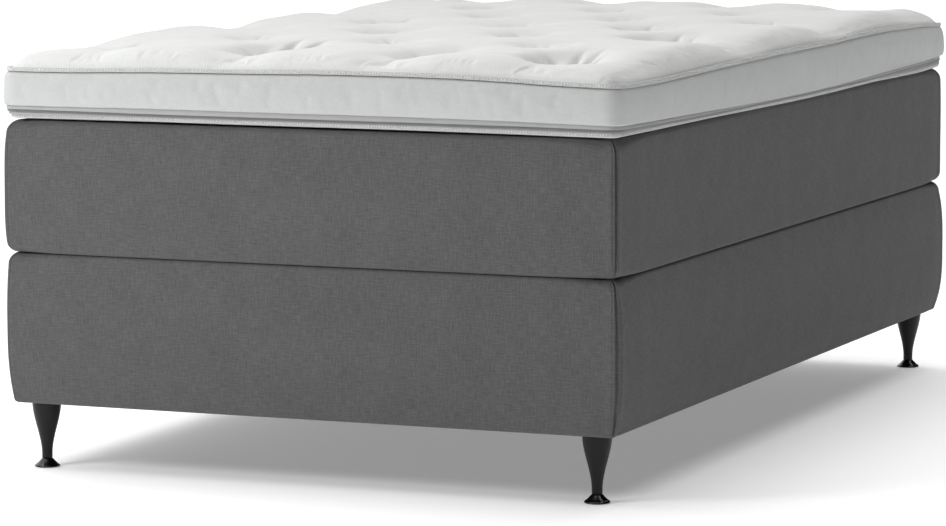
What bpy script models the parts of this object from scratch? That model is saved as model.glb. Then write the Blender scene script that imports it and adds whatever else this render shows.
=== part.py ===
"""Sprung continental bed: an upholstered base on turned legs, a mattress and a tufted topper.

Metres, +Z up. The origin is on the floor under the middle of the bed. The foot end faces -Y,
the head end faces +Y, and +X is the right side seen from the foot end.
"""
import math

import bmesh
import bpy
from mathutils import Matrix, Vector

MM = 0.001

# Whole bed
BED_WIDTH = 1212 * MM
BED_LENGTH = 2000 * MM
GAP = 0.3 * MM
OVERRUN = 2 * MM
WELD = 0.001 * MM
CORNER_STEPS = 4
ROUND_STEPS = 4
SMALL_ROUND_STEPS = 3
SHARP_ANGLE = math.radians(35)
SIDE_SHARES = (-0.6, 0.0, 0.6)
BELLY_SHARES = (0.25, 0.5, 0.75)

# Turned legs and their flared feet
LEG_FROM_SIDE = 56 * MM
LEG_FROM_END = 50 * MM
FOOT_BASE_RADIUS = 21.5 * MM
FOOT_RIM_RADIUS = 23.8 * MM
FOOT_RIM_HEIGHT = 2.6 * MM
FOOT_BEVEL = 0.9 * MM
FOOT_HEIGHT = 15.5 * MM
FOOT_SPIGOT_RADIUS = 4 * MM
FOOT_SPIGOT_LENGTH = 14 * MM
NECK_RADIUS = 9.8 * MM
NECK_LENGTH = 9 * MM
LEG_TOP_RADIUS = 27 * MM
LEG_TOP_EASE = 1.2 * MM
LEG_LENGTH = 108.7 * MM
LEG_PROFILE_STEPS = 9
LEG_SIDES = 24
BOLT_RADIUS = 4 * MM
BOLT_IN_LEG = 40 * MM
BOLT_POINT = 3 * MM
BOLT_STAND_OUT = 4 * MM
BOLT_SIDES = 12

# Base frame
HEM_THICK = 1.6 * MM
RAIL_THICK = 22 * MM
RAIL_HEIGHT = 110 * MM
RAIL_EASE = 2 * MM
BEAM_THICK = 30 * MM
SLAT_COUNT = 9
SLAT_WIDTH = 70 * MM
SLAT_THICK = 15 * MM
BLOCK_REACH = 40 * MM
BLOCK_HEIGHT = 45 * MM
BLOCK_EASE = 3 * MM
INSERT_FLANGE_RADIUS = 11 * MM
INSERT_FLANGE_THICK = 1.5 * MM
INSERT_WALL = 1.3 * MM
INSERT_LENGTH = 16 * MM

# Base upholstery
BASE_HEIGHT = 282 * MM
BASE_TOP_ROUND = 26 * MM
BASE_BOTTOM_ROUND = 8 * MM
BASE_HEM = 18 * MM
COVER_WALL = 6 * MM
COVER_CORNER = 12 * MM
MITRE_RADIUS = 2.5 * GAP
SIDE_BELLY = 6 * MM
LINING_ROUND = 18 * MM
PADDING_THICK = 6 * MM
DUST_CLOTH_THICK = 1 * MM
LEG_HOLE_CLEARANCE = 1 * MM
FELT_THICK = 3 * MM
SPRING_FOAM_WIDTH = 55 * MM
SPRING_ROW_PITCH = 65 * MM
SPRING_GROOVE = 9 * MM
BASE_FOAM_THICK = 21 * MM

# Mattress
MATTRESS_HEIGHT = 251.7 * MM
MATTRESS_TOP_ROUND = 27 * MM
MATTRESS_BOTTOM_ROUND = 22 * MM
MATTRESS_FLANGE = 45 * MM
MATTRESS_FLANGE_THICK = 4 * MM
MATTRESS_LINING_ROUND = 16 * MM
MATTRESS_BOTTOM_FOAM = 22 * MM
MATTRESS_TOP_FOAM = 55 * MM

# Topper
TOPPER_CORNER = 38 * MM
TOPPER_HEIGHT = 131 * MM
TRAY_FLOOR = 4 * MM
TRAY_HEIGHT = 8.3 * MM
TRAY_INSET = 10.5 * MM
CORE_INSET = 13 * MM
LOWER_TAPE_INSET = 6.5 * MM
LOWER_TAPE_HALF = 3.7 * MM
UPPER_TAPE_INSET = 1 * MM
UPPER_TAPE_HALF = 3.4 * MM
UPPER_TAPE_CENTRE = 91.8 * MM
SEAM_RISE = 5 * MM
SEAM_SLOPE = 2.2 * MM
SEAM_DEPTH = 4.2 * MM
BORDER_BELLY = 12 * MM
BORDER_FOLD = 1 * MM
BORDER_FOLD_SHARES = ((0.16, 0.28), (0.45, 0.0), (0.72, 0.0), (0.92, 0.3))
SHOULDER_STAND = 3.5 * MM
CROWN_RUN = 75 * MM
TUFT_COLUMNS = 4
TUFT_ROWS = 4
TUFT_FROM_SIDE = 165 * MM
TUFT_FROM_END = 151 * MM
TUFT_DEPTH = 30 * MM
TUFT_SHARPNESS = 2.5
LINES_PER_TUFT_PITCH = 4

# Zip round the topper
ZIP_INSET = 4.3 * MM
ZIP_TAPE_THICK = 1 * MM
ZIP_TAPE_WIDTH = 4.6 * MM
ZIP_CHAIN_WIDTH = 4.4 * MM
ZIP_CHAIN_STAND = 0.9 * MM
SLIDER_START_SHARE = -0.75
SLIDER_LENGTH = 13 * MM
SLIDER_WIDTH = 9 * MM
SLIDER_PLATE = 2 * MM
SLIDER_LIP = 0.7 * MM
CHEEK_THICK = 1.4 * MM
CHEEK_WIDTH = 3.6 * MM
CHEEK_STAND = 4.2 * MM
CHEEK_SPACE = 5 * MM
HINGE_STAND = 2.4 * MM
HINGE_PIN_RADIUS = 0.8 * MM
HINGE_SIDES = 12
PULL_EYE_RADIUS = 1.9 * MM
PULL_THICK = 1.6 * MM
PULL_WIDTH = 7 * MM
PULL_LENGTH = 17 * MM
PULL_EASE = 0.5 * MM

# Levels, from the floor up
LEG_BOTTOM = FOOT_HEIGHT + GAP
LEG_TOP = LEG_BOTTOM + LEG_LENGTH
BASE_BOTTOM = LEG_TOP - HEM_THICK
FRAME_BOTTOM = LEG_TOP + GAP
FRAME_TOP = FRAME_BOTTOM + RAIL_HEIGHT
SLAT_BOTTOM = FRAME_TOP + GAP
SLAT_TOP = SLAT_BOTTOM + SLAT_THICK
BASE_TOP = BASE_BOTTOM + BASE_HEIGHT
MATTRESS_BOTTOM = BASE_TOP + GAP
MATTRESS_TOP = MATTRESS_BOTTOM + MATTRESS_HEIGHT
TOPPER_BOTTOM = MATTRESS_TOP + GAP
TOPPER_TOP = TOPPER_BOTTOM + TOPPER_HEIGHT
TRAY_TOP = TOPPER_BOTTOM + TRAY_HEIGHT
UPPER_SEAM = TOPPER_BOTTOM + UPPER_TAPE_CENTRE
CORE_TOP = UPPER_SEAM - SEAM_RISE - GAP
ZIP_LOWER_BOTTOM = TRAY_TOP
ZIP_LOWER_TOP = ZIP_LOWER_BOTTOM + ZIP_TAPE_WIDTH
CHAIN_BOTTOM = ZIP_LOWER_TOP + GAP
CHAIN_TOP = CHAIN_BOTTOM + ZIP_CHAIN_WIDTH
ZIP_UPPER_BOTTOM = CHAIN_TOP + GAP
ZIP_UPPER_TOP = ZIP_UPPER_BOTTOM + ZIP_TAPE_WIDTH
BORDER_BOTTOM = ZIP_UPPER_TOP + GAP

# Outer tufts, and the spacing that leaves between the tufts of one row and between like rows
LAST_TUFT_X = BED_WIDTH / 2 - TUFT_FROM_SIDE
LAST_TUFT_Y = BED_LENGTH / 2 - TUFT_FROM_END
TUFT_PITCH_X = 2 * LAST_TUFT_X / (TUFT_COLUMNS - 1)
TUFT_PITCH_Y = 2 * LAST_TUFT_Y / (TUFT_ROWS - 1)

# Insets of the layers, from the bed's outer faces inwards
LINING_INSET = COVER_WALL + GAP
FRAME_INSET = LINING_INSET + PADDING_THICK + GAP
RAIL_INNER_INSET = FRAME_INSET + RAIL_THICK
BLOCK_INSET = RAIL_INNER_INSET + GAP

# Colours (linear), roughness and metallic value of each finish
GREY_WEAVE = ("grey_weave", (0.15, 0.15, 0.155), 0.95, 0.0)
WHITE_KNIT = ("white_knit", (0.78, 0.78, 0.77), 0.9, 0.0)
WHITE_TAPE = ("white_tape", (0.66, 0.66, 0.65), 0.85, 0.0)
GREY_ZIP = ("grey_zip_tape", (0.36, 0.36, 0.36), 0.8, 0.0)
GREY_COIL = ("grey_zip_coil", (0.5, 0.5, 0.5), 0.5, 0.0)
BLACK_LACQUER = ("black_lacquered_beech", (0.012, 0.012, 0.012), 0.4, 0.0)
BLACK_PLASTIC = ("black_moulded_plastic", (0.008, 0.008, 0.008), 0.25, 0.0)
ZINC = ("zinc_plated_steel", (0.6, 0.6, 0.6), 0.35, 1.0)
NICKEL = ("nickel_plated_zinc", (0.55, 0.54, 0.52), 0.3, 1.0)
PINE = ("planed_pine", (0.62, 0.43, 0.24), 0.65, 0.0)
BEECH = ("beech_block", (0.55, 0.36, 0.2), 0.6, 0.0)
NONWOVEN = ("black_nonwoven_cloth", (0.03, 0.03, 0.03), 0.95, 0.0)
FELT = ("grey_needled_felt", (0.3, 0.3, 0.29), 1.0, 0.0)
FOAM = ("cream_foam", (0.78, 0.7, 0.5), 1.0, 0.0)
WADDING = ("white_wadding", (0.75, 0.75, 0.73), 1.0, 0.0)
POCKET_CLOTH = ("white_pocket_cloth", (0.7, 0.72, 0.74), 0.95, 0.0)


# Scene and object helpers

def clear_scene():
    for obj in list(bpy.data.objects):
        bpy.data.objects.remove(obj, do_unlink=True)


def material(finish):
    name, colour, roughness, metallic = finish
    mat = bpy.data.materials.get(name)
    if mat is None:
        mat = bpy.data.materials.new(name)
        mat.use_nodes = True
        shader = mat.node_tree.nodes["Principled BSDF"]
        shader.inputs["Base Color"].default_value = (*colour, 1.0)
        shader.inputs["Roughness"].default_value = roughness
        shader.inputs["Metallic"].default_value = metallic
    return mat


def finish_object(name, bm, finish, origin=(0, 0, 0), smooth=True):
    """Turn a bmesh that is modelled in world places into an object whose origin is at `origin`."""
    bmesh.ops.recalc_face_normals(bm, faces=bm.faces)
    bmesh.ops.transform(bm, matrix=Matrix.Translation(-Vector(origin)), verts=bm.verts)
    mesh = bpy.data.meshes.new(name)
    bm.to_mesh(mesh)
    bm.free()
    mesh.materials.append(material(finish))
    if smooth:
        mesh.shade_smooth()
        mesh.set_sharp_from_angle(angle=SHARP_ANGLE)
    obj = bpy.data.objects.new(name, mesh)
    obj.location = origin
    bpy.context.scene.collection.objects.link(obj)
    return obj


def as_cutter(obj):
    obj.hide_render = True
    obj.display_type = "WIRE"
    return obj


def boolean(obj, other, operation):
    modifier = obj.modifiers.new(operation.lower() + "_" + other.name, "BOOLEAN")
    modifier.operation = operation
    modifier.solver = "EXACT"
    modifier.object = other


# Plan outlines: rectangles with soft corners, all with the same number of points

def plan_lines(half, radius, inner):
    """Grid lines across one direction, close together in the two corners."""
    steps = CORNER_STEPS // 2
    corner = [half - radius * k / steps for k in range(steps + 1)]
    return [-value for value in corner] + list(inner) + corner[::-1]


def soften_corner(x, y, half_x, half_y, radius):
    """Move a point of a square-cornered plan onto rings that turn round arcs in the corners."""
    dx, dy = half_x - abs(x), half_y - abs(y)
    depth, along = min(dx, dy), abs(dx - dy)
    ring = radius - depth
    if ring <= 0 or along >= ring:
        return x, y
    swing = math.radians(45) * (1 - along / ring)
    near, far = ring * math.cos(swing), ring * math.sin(swing)
    out_x, out_y = (near, far) if dx < dy else (far, near)
    sign_x, sign_y = math.copysign(1, x), math.copysign(1, y)
    return sign_x * (half_x - radius + out_x), sign_y * (half_y - radius + out_y)


def edge_walk(nx, ny):
    """Grid indices once round the edge, anticlockwise from above."""
    walk = [(i, 0) for i in range(nx - 1)] + [(nx - 1, j) for j in range(ny - 1)]
    walk += [(i, ny - 1) for i in range(nx - 1, 0, -1)] + [(0, j) for j in range(ny - 1, 0, -1)]
    return walk


def plan_loop(inset, corner, inner_x=(), inner_y=()):
    """Points round the bed's plan, drawn in by `inset`."""
    half_x, half_y = BED_WIDTH / 2 - inset, BED_LENGTH / 2 - inset
    radius = max(corner - inset, MITRE_RADIUS)
    xs, ys = plan_lines(half_x, radius, inner_x), plan_lines(half_y, radius, inner_y)
    return [soften_corner(xs[i], ys[j], half_x, half_y, radius)
            for i, j in edge_walk(len(xs), len(ys))]


def raise_loop(bm, points, z):
    return [bm.verts.new((x, y, z)) for x, y in points]


def bridge(bm, first, second):
    for k in range(len(first)):
        n = (k + 1) % len(first)
        bm.faces.new((first[k], first[n], second[n], second[k]))


def loft(bm, loops):
    """Skin from loop to loop, with the first and the last loop closed by a face."""
    for first, second in zip(loops, loops[1:]):
        bridge(bm, first, second)
    bm.faces.new(loops[0])
    bm.faces.new(loops[-1])


def quarter(inset, z, radius, start, end, steps):
    """Inset and height along an arc; 0 degrees looks outwards and 90 degrees looks up."""
    arc = []
    for k in range(steps + 1):
        angle = math.radians(start + (end - start) * k / steps)
        arc.append((inset - radius * math.cos(angle), z + radius * math.sin(angle)))
    return arc


# Solids that repeat

def stacked_slab(name, finish, profile, corner):
    """A block with an outline that follows the bed's plan; profile is (inset, height) upwards."""
    bm = bmesh.new()
    loft(bm, [raise_loop(bm, plan_loop(inset, corner), z) for inset, z in profile])
    return finish_object(name, bm, finish)


def swept_ring(name, finish, profile, corner, inner_corner=None):
    """A closed profile of (inset, height) swept once round the bed's plan."""
    outside = min(inset for inset, z in profile)
    bm = bmesh.new()
    loops = []
    for inset, z in profile:
        own_corner = corner if inner_corner is None or inset == outside else inner_corner
        loops.append(raise_loop(bm, plan_loop(inset, own_corner), z))
    for first, second in zip(loops, loops[1:] + loops[:1]):
        bridge(bm, first, second)
    return finish_object(name, bm, finish)


def band(inset, thick, bottom, top):
    return [(inset, bottom), (inset, top), (inset + thick, top), (inset + thick, bottom)]


def tape_profile(inset, z, half):
    """The eight-sided section of a folded tape edge."""
    flat = half * math.tan(math.radians(22.5))
    return [(inset - half, z - flat), (inset - half, z + flat), (inset - flat, z + half),
            (inset + flat, z + half), (inset + half, z + flat), (inset + half, z - flat),
            (inset + flat, z - half), (inset - flat, z - half)]


def turned(name, finish, profile, sides, x, y):
    """Spin a profile of (radius, height) about an upright axis."""
    bm = bmesh.new()
    verts = [bm.verts.new((x + radius, y, z)) for radius, z in profile]
    edges = [bm.edges.new(pair) for pair in zip(verts, verts[1:])]
    closed = profile[0][0] > 0
    if closed:
        edges.append(bm.edges.new((verts[-1], verts[0])))
    bmesh.ops.spin(bm, geom=verts + edges, cent=(x, y, 0), axis=(0, 0, 1),
                   angle=math.tau, steps=sides, use_merge=True)
    bmesh.ops.remove_doubles(bm, verts=bm.verts, dist=WELD)
    return finish_object(name, bm, finish, origin=(x, y, 0))


def eased_box(name, finish, low, high, ease=0.0, origin=(0, 0, 0)):
    """A box between two corners with small chamfers on its edges."""
    low, high = Vector(low), Vector(high)
    bm = bmesh.new()
    bmesh.ops.create_cube(bm, size=1.0)
    size, centre = high - low, (low + high) / 2
    bmesh.ops.scale(bm, vec=size, verts=bm.verts)
    bmesh.ops.translate(bm, vec=centre, verts=bm.verts)
    if ease:
        bmesh.ops.bevel(bm, geom=bm.edges[:], offset=ease, segments=1, affect="EDGES")
    return finish_object(name, bm, finish, origin, smooth=False)


def rod_along_x(name, finish, radius, x_low, x_high, y, z, sides, origin=(0, 0, 0)):
    bm = bmesh.new()
    bmesh.ops.create_cone(bm, cap_ends=True, segments=sides, radius1=radius, radius2=radius,
                          depth=x_high - x_low)
    bmesh.ops.rotate(bm, cent=(0, 0, 0), matrix=Matrix.Rotation(math.pi / 2, 3, "Y"), verts=bm.verts)
    bmesh.ops.translate(bm, vec=((x_low + x_high) / 2, y, z), verts=bm.verts)
    return finish_object(name, bm, finish, origin)


# Legs, feet and their fasteners

def corners():
    """Name and place of the four legs; front is the foot end."""
    half_x, half_y = BED_WIDTH / 2 - LEG_FROM_SIDE, BED_LENGTH / 2 - LEG_FROM_END
    for end, y in (("front", -half_y), ("rear", half_y)):
        for side, x in (("left", -half_x), ("right", half_x)):
            yield end + "_" + side, x, y


def leg_curve():
    """Radius and height from the neck up: straight, then swelling in one long S to the top."""
    start = LEG_BOTTOM + NECK_LENGTH
    curve = [(NECK_RADIUS, LEG_BOTTOM)]
    for k in range(LEG_PROFILE_STEPS + 1):
        share = k / LEG_PROFILE_STEPS
        swell = share * share * (3 - 2 * share)
        curve.append((NECK_RADIUS + (LEG_TOP_RADIUS - NECK_RADIUS) * swell,
                      start + (LEG_TOP - LEG_TOP_EASE - start) * share))
    curve.append((LEG_TOP_RADIUS - LEG_TOP_EASE, LEG_TOP))
    return curve


def make_leg(corner_name, x, y):
    hole = FOOT_SPIGOT_RADIUS + GAP
    bolt_hole = BOLT_RADIUS + GAP
    spigot_top = LEG_BOTTOM + FOOT_SPIGOT_LENGTH + GAP
    bolt_bottom = LEG_TOP - BOLT_IN_LEG - GAP
    profile = [(0, spigot_top), (hole, spigot_top), (hole, LEG_BOTTOM)]
    profile += leg_curve()
    profile += [(bolt_hole, LEG_TOP), (bolt_hole, bolt_bottom), (0, bolt_bottom)]
    turned("leg_" + corner_name, BLACK_LACQUER, profile, LEG_SIDES, x, y)


def make_foot(corner_name, x, y):
    rim_top = FOOT_RIM_HEIGHT + FOOT_BEVEL
    profile = [(0, 0), (FOOT_BASE_RADIUS, 0), (FOOT_RIM_RADIUS, FOOT_BEVEL),
               (FOOT_RIM_RADIUS, FOOT_RIM_HEIGHT), (FOOT_RIM_RADIUS - FOOT_BEVEL, rim_top),
               (NECK_RADIUS + FOOT_BEVEL, FOOT_HEIGHT - FOOT_BEVEL), (NECK_RADIUS, FOOT_HEIGHT),
               (FOOT_SPIGOT_RADIUS, FOOT_HEIGHT),
               (FOOT_SPIGOT_RADIUS, FOOT_HEIGHT + FOOT_SPIGOT_LENGTH),
               (0, FOOT_HEIGHT + FOOT_SPIGOT_LENGTH)]
    turned("foot_" + corner_name, BLACK_PLASTIC, profile, LEG_SIDES, x, y)


def make_bolt(corner_name, x, y):
    bottom = LEG_TOP - BOLT_IN_LEG
    top = FRAME_BOTTOM + BLOCK_HEIGHT + GAP + INSERT_FLANGE_THICK + BOLT_STAND_OUT
    point = BOLT_RADIUS / 2
    profile = [(0, bottom), (point, bottom), (BOLT_RADIUS, bottom + BOLT_POINT),
               (BOLT_RADIUS, top - point), (point, top), (0, top)]
    turned("leg_bolt_" + corner_name, ZINC, profile, BOLT_SIDES, x, y)


def make_insert(corner_name, x, y):
    """T-nut whose barrel hangs in the leg block and whose flange lies on the block's top."""
    bore, barrel = BOLT_RADIUS + GAP, BOLT_RADIUS + GAP + INSERT_WALL
    seat = FRAME_BOTTOM + BLOCK_HEIGHT + GAP
    flange_top = seat + INSERT_FLANGE_THICK
    profile = [(bore, seat - INSERT_LENGTH), (barrel, seat - INSERT_LENGTH), (barrel, seat),
               (INSERT_FLANGE_RADIUS, seat), (INSERT_FLANGE_RADIUS, flange_top),
               (bore, flange_top)]
    turned("leg_insert_" + corner_name, ZINC, profile, BOLT_SIDES, x, y)


def make_block(corner_name, x, y):
    """Corner block, bored for the bolt and the barrel of the T-nut."""
    sign_x, sign_y = math.copysign(1, x), math.copysign(1, y)
    outer = Vector((BED_WIDTH / 2 - BLOCK_INSET, BED_LENGTH / 2 - BLOCK_INSET))
    inner = Vector((abs(x) - BLOCK_REACH, abs(y) - BLOCK_REACH))
    xs = sorted((sign_x * outer.x, sign_x * inner.x))
    ys = sorted((sign_y * outer.y, sign_y * inner.y))
    top = FRAME_BOTTOM + BLOCK_HEIGHT
    block = eased_box("leg_block_" + corner_name, BEECH, (xs[0], ys[0], FRAME_BOTTOM),
                      (xs[1], ys[1], top), BLOCK_EASE)
    bore = BOLT_RADIUS + GAP + INSERT_WALL + GAP
    profile = [(0, FRAME_BOTTOM - OVERRUN), (bore, FRAME_BOTTOM - OVERRUN),
               (bore, top + OVERRUN), (0, top + OVERRUN)]
    cutter = as_cutter(turned("bore_" + corner_name, ZINC, profile, BOLT_SIDES, x, y))
    boolean(block, cutter, "DIFFERENCE")


# Base frame

def make_frame():
    outer_x, outer_y = BED_WIDTH / 2 - FRAME_INSET, BED_LENGTH / 2 - FRAME_INSET
    inner_x, inner_y = outer_x - RAIL_THICK, outer_y - RAIL_THICK
    for side, sign in (("left", -1), ("right", 1)):
        xs = sorted((sign * inner_x, sign * outer_x))
        eased_box("base_side_rail_" + side, PINE, (xs[0], -outer_y, FRAME_BOTTOM),
                  (xs[1], outer_y, FRAME_TOP), RAIL_EASE)
    end_x = inner_x - GAP
    for end, sign in (("foot", -1), ("head", 1)):
        ys = sorted((sign * inner_y, sign * outer_y))
        eased_box("base_" + end + "_rail", PINE, (-end_x, ys[0], FRAME_BOTTOM),
                  (end_x, ys[1], FRAME_TOP), RAIL_EASE)
    beam_y = inner_y - GAP
    eased_box("base_centre_beam", PINE, (-BEAM_THICK / 2, -beam_y, FRAME_BOTTOM),
              (BEAM_THICK / 2, beam_y, FRAME_TOP), RAIL_EASE)
    pitch = (2 * outer_y - SLAT_WIDTH) / (SLAT_COUNT - 1)
    for k in range(SLAT_COUNT):
        start = -outer_y + k * pitch
        eased_box("base_slat_" + str(k + 1), PINE, (-outer_x, start, SLAT_BOTTOM),
                  (outer_x, start + SLAT_WIDTH, SLAT_TOP), RAIL_EASE)


# Layers of springs, felt and foam

def make_spring_unit(name, inset, bottom, top):
    """Strings of pocketed springs glued row to row, with a groove between the rows."""
    half_x, half_y = BED_WIDTH / 2 - inset, BED_LENGTH / 2 - inset
    rows = max(1, round(2 * half_y / SPRING_ROW_PITCH))
    pitch = 2 * half_y / rows
    lower, upper = [], []
    for k in range(rows):
        start, end = -half_y + k * pitch, -half_y + (k + 1) * pitch
        for y, rise in ((start, SPRING_GROOVE), (start + SPRING_GROOVE, 0), (end - SPRING_GROOVE, 0)):
            lower.append((y, bottom + rise))
            upper.append((y, top - rise))
    lower.append((half_y, bottom + SPRING_GROOVE))
    upper.append((half_y, top - SPRING_GROOVE))
    outline = lower + upper[::-1]
    bm = bmesh.new()
    loft(bm, [[bm.verts.new((x, y, z)) for y, z in outline] for x in (-half_x, half_x)])
    finish_object(name, bm, POCKET_CLOTH, smooth=False)


def make_spring_layers(prefix, inset, corner, bottom, top):
    """Felt, springs in their foam border, and felt, between two heights."""
    spring_bottom = bottom + FELT_THICK + GAP
    spring_top = top - FELT_THICK - GAP
    stacked_slab(prefix + "_felt_lower", FELT, [(inset, bottom), (inset, bottom + FELT_THICK)], corner)
    swept_ring(prefix + "_edge_foam", FOAM,
               band(inset, SPRING_FOAM_WIDTH, spring_bottom, spring_top), corner, 0)
    make_spring_unit(prefix + "_spring_unit", inset + SPRING_FOAM_WIDTH + GAP,
                     spring_bottom, spring_top)
    stacked_slab(prefix + "_felt_upper", FELT, [(inset, top - FELT_THICK), (inset, top)], corner)


# Upholstered covers

def outer_profile(bottom, top, top_round, bottom_round):
    """Outside of an upholstered box as (inset, height), from its top edge down."""
    high, low = top - top_round, bottom + bottom_round
    sides = [(-SIDE_BELLY * math.sin(math.pi * share), high + (low - high) * share)
             for share in BELLY_SHARES]
    return (quarter(top_round, high, top_round, 90, 0, ROUND_STEPS) + sides
            + quarter(bottom_round, low, bottom_round, 0, -90, SMALL_ROUND_STEPS))


def make_cover(name, profile, hem):
    """Fabric shell, open underneath: its outside downwards, then its inner side upwards."""
    inner_x = [share * BED_WIDTH / 2 for share in SIDE_SHARES]
    inner_y = [share * BED_LENGTH / 2 for share in SIDE_SHARES]
    bm = bmesh.new()
    loft(bm, [raise_loop(bm, plan_loop(inset, COVER_CORNER, inner_x, inner_y), z)
              for inset, z in profile + hem])
    finish_object(name, bm, GREY_WEAVE)


def make_base_upholstery():
    ceiling = BASE_TOP - COVER_WALL
    hem_top = BASE_BOTTOM + HEM_THICK
    hem = [(BASE_HEM, BASE_BOTTOM), (BASE_HEM, hem_top), (COVER_WALL, hem_top)]
    hem += quarter(COVER_WALL + LINING_ROUND, ceiling - LINING_ROUND, LINING_ROUND, 0, 90,
                   SMALL_ROUND_STEPS)
    make_cover("base_cover", outer_profile(BASE_BOTTOM, BASE_TOP, BASE_TOP_ROUND, BASE_BOTTOM_ROUND), hem)

    foam_top = ceiling - GAP
    foam_bottom = foam_top - BASE_FOAM_THICK
    foam_round = LINING_ROUND - GAP
    foam = [(LINING_INSET, foam_bottom)]
    foam += quarter(LINING_INSET + foam_round, foam_top - foam_round, foam_round, 0, 90,
                    SMALL_ROUND_STEPS)
    stacked_slab("base_foam_pad", FOAM, foam, COVER_CORNER)

    layers_top = foam_bottom - GAP
    swept_ring("base_padding", WADDING,
               band(LINING_INSET, PADDING_THICK, FRAME_BOTTOM, layers_top), COVER_CORNER, 0)
    make_spring_layers("base", FRAME_INSET, COVER_CORNER, SLAT_TOP + GAP, layers_top)

    cloth_bottom = LEG_TOP - DUST_CLOTH_THICK
    cloth = stacked_slab("base_dust_cloth", NONWOVEN,
                         [(BASE_HEM + GAP, cloth_bottom), (BASE_HEM + GAP, LEG_TOP)], COVER_CORNER)
    hole = LEG_TOP_RADIUS + LEG_HOLE_CLEARANCE
    for corner_name, x, y in corners():
        profile = [(0, cloth_bottom - OVERRUN), (hole, cloth_bottom - OVERRUN),
                   (hole, LEG_TOP + OVERRUN), (0, LEG_TOP + OVERRUN)]
        cutter = as_cutter(turned("clearance_" + corner_name, NONWOVEN, profile, LEG_SIDES, x, y))
        boolean(cloth, cutter, "DIFFERENCE")


def make_mattress():
    floor = MATTRESS_BOTTOM + MATTRESS_FLANGE_THICK
    ceiling = MATTRESS_TOP - COVER_WALL
    low_round, top_round = MATTRESS_LINING_ROUND, LINING_ROUND
    hem = [(MATTRESS_FLANGE, MATTRESS_BOTTOM), (MATTRESS_FLANGE, floor)]
    hem += quarter(COVER_WALL + low_round, floor + low_round, low_round, -90, 0, SMALL_ROUND_STEPS)
    hem += quarter(COVER_WALL + top_round, ceiling - top_round, top_round, 0, 90, SMALL_ROUND_STEPS)
    make_cover("mattress_cover", outer_profile(MATTRESS_BOTTOM, MATTRESS_TOP, MATTRESS_TOP_ROUND,
                                               MATTRESS_BOTTOM_ROUND), hem)
    panel = MATTRESS_FLANGE + GAP
    stacked_slab("mattress_underside_cloth", NONWOVEN,
                 [(panel, MATTRESS_BOTTOM), (panel, floor)], COVER_CORNER)

    foam_bottom = floor + GAP
    foam_top = foam_bottom + MATTRESS_BOTTOM_FOAM
    low_foam, top_foam = low_round - GAP, top_round - GAP
    foam = quarter(LINING_INSET + low_foam, foam_bottom + low_foam, low_foam, -90, 0,
                   SMALL_ROUND_STEPS)
    foam.append((LINING_INSET, foam_top))
    stacked_slab("mattress_bottom_foam", FOAM, foam, COVER_CORNER)

    comfort_top = ceiling - GAP
    comfort_bottom = comfort_top - MATTRESS_TOP_FOAM
    comfort = [(LINING_INSET, comfort_bottom)]
    comfort += quarter(LINING_INSET + top_foam, comfort_top - top_foam, top_foam, 0, 90,
                       SMALL_ROUND_STEPS)
    stacked_slab("mattress_comfort_foam", FOAM, comfort, COVER_CORNER)
    make_spring_layers("mattress", LINING_INSET, COVER_CORNER, foam_top + GAP, comfort_bottom - GAP)


# Topper

def tuft_pattern(x, y):
    """1 in a tuft and 0 on top of a puff; the outer tufts reach on to the edges as valleys."""
    x = max(-LAST_TUFT_X, min(x, LAST_TUFT_X))
    y = max(-LAST_TUFT_Y, min(y, LAST_TUFT_Y))
    wave = math.cos(math.tau * (x - LAST_TUFT_X) / TUFT_PITCH_X)
    wave *= math.cos(math.tau * (y - LAST_TUFT_Y) / TUFT_PITCH_Y)
    return ((1 + wave) / 2) ** TUFT_SHARPNESS


def crown_height(x, y, half_x, half_y, seam):
    """The topper's top: it rises from the seam within a short run and dips at the tufts."""
    edge = min(half_x - abs(x), half_y - abs(y))
    run = min(1.0, max(0.0, edge) / CROWN_RUN)
    rise = math.sqrt(1 - (1 - run) ** 2)
    crown = TOPPER_TOP - seam
    return seam + rise * (crown - TUFT_DEPTH * tuft_pattern(x, y))


def tuft_lines(last, count, half):
    """Grid lines through and between the tufts, and one at each side where the crown levels out."""
    lines = LINES_PER_TUFT_PITCH * (count - 1)
    inner = [-last + 2 * last * k / lines for k in range(lines + 1)]
    return [CROWN_RUN - half] + inner + [half - CROWN_RUN]


def split_alternately(bm, grid):
    """Two triangles a cell, split so that every second line crossing is the centre of a star."""
    for i in range(len(grid) - 1):
        for j in range(len(grid[0]) - 1):
            ring = [grid[i][j], grid[i + 1][j], grid[i + 1][j + 1], grid[i][j + 1]]
            if (i + j) % 2:
                ring = ring[1:] + ring[:1]
            bm.faces.new((ring[0], ring[1], ring[2]))
            bm.faces.new((ring[0], ring[2], ring[3]))


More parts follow.
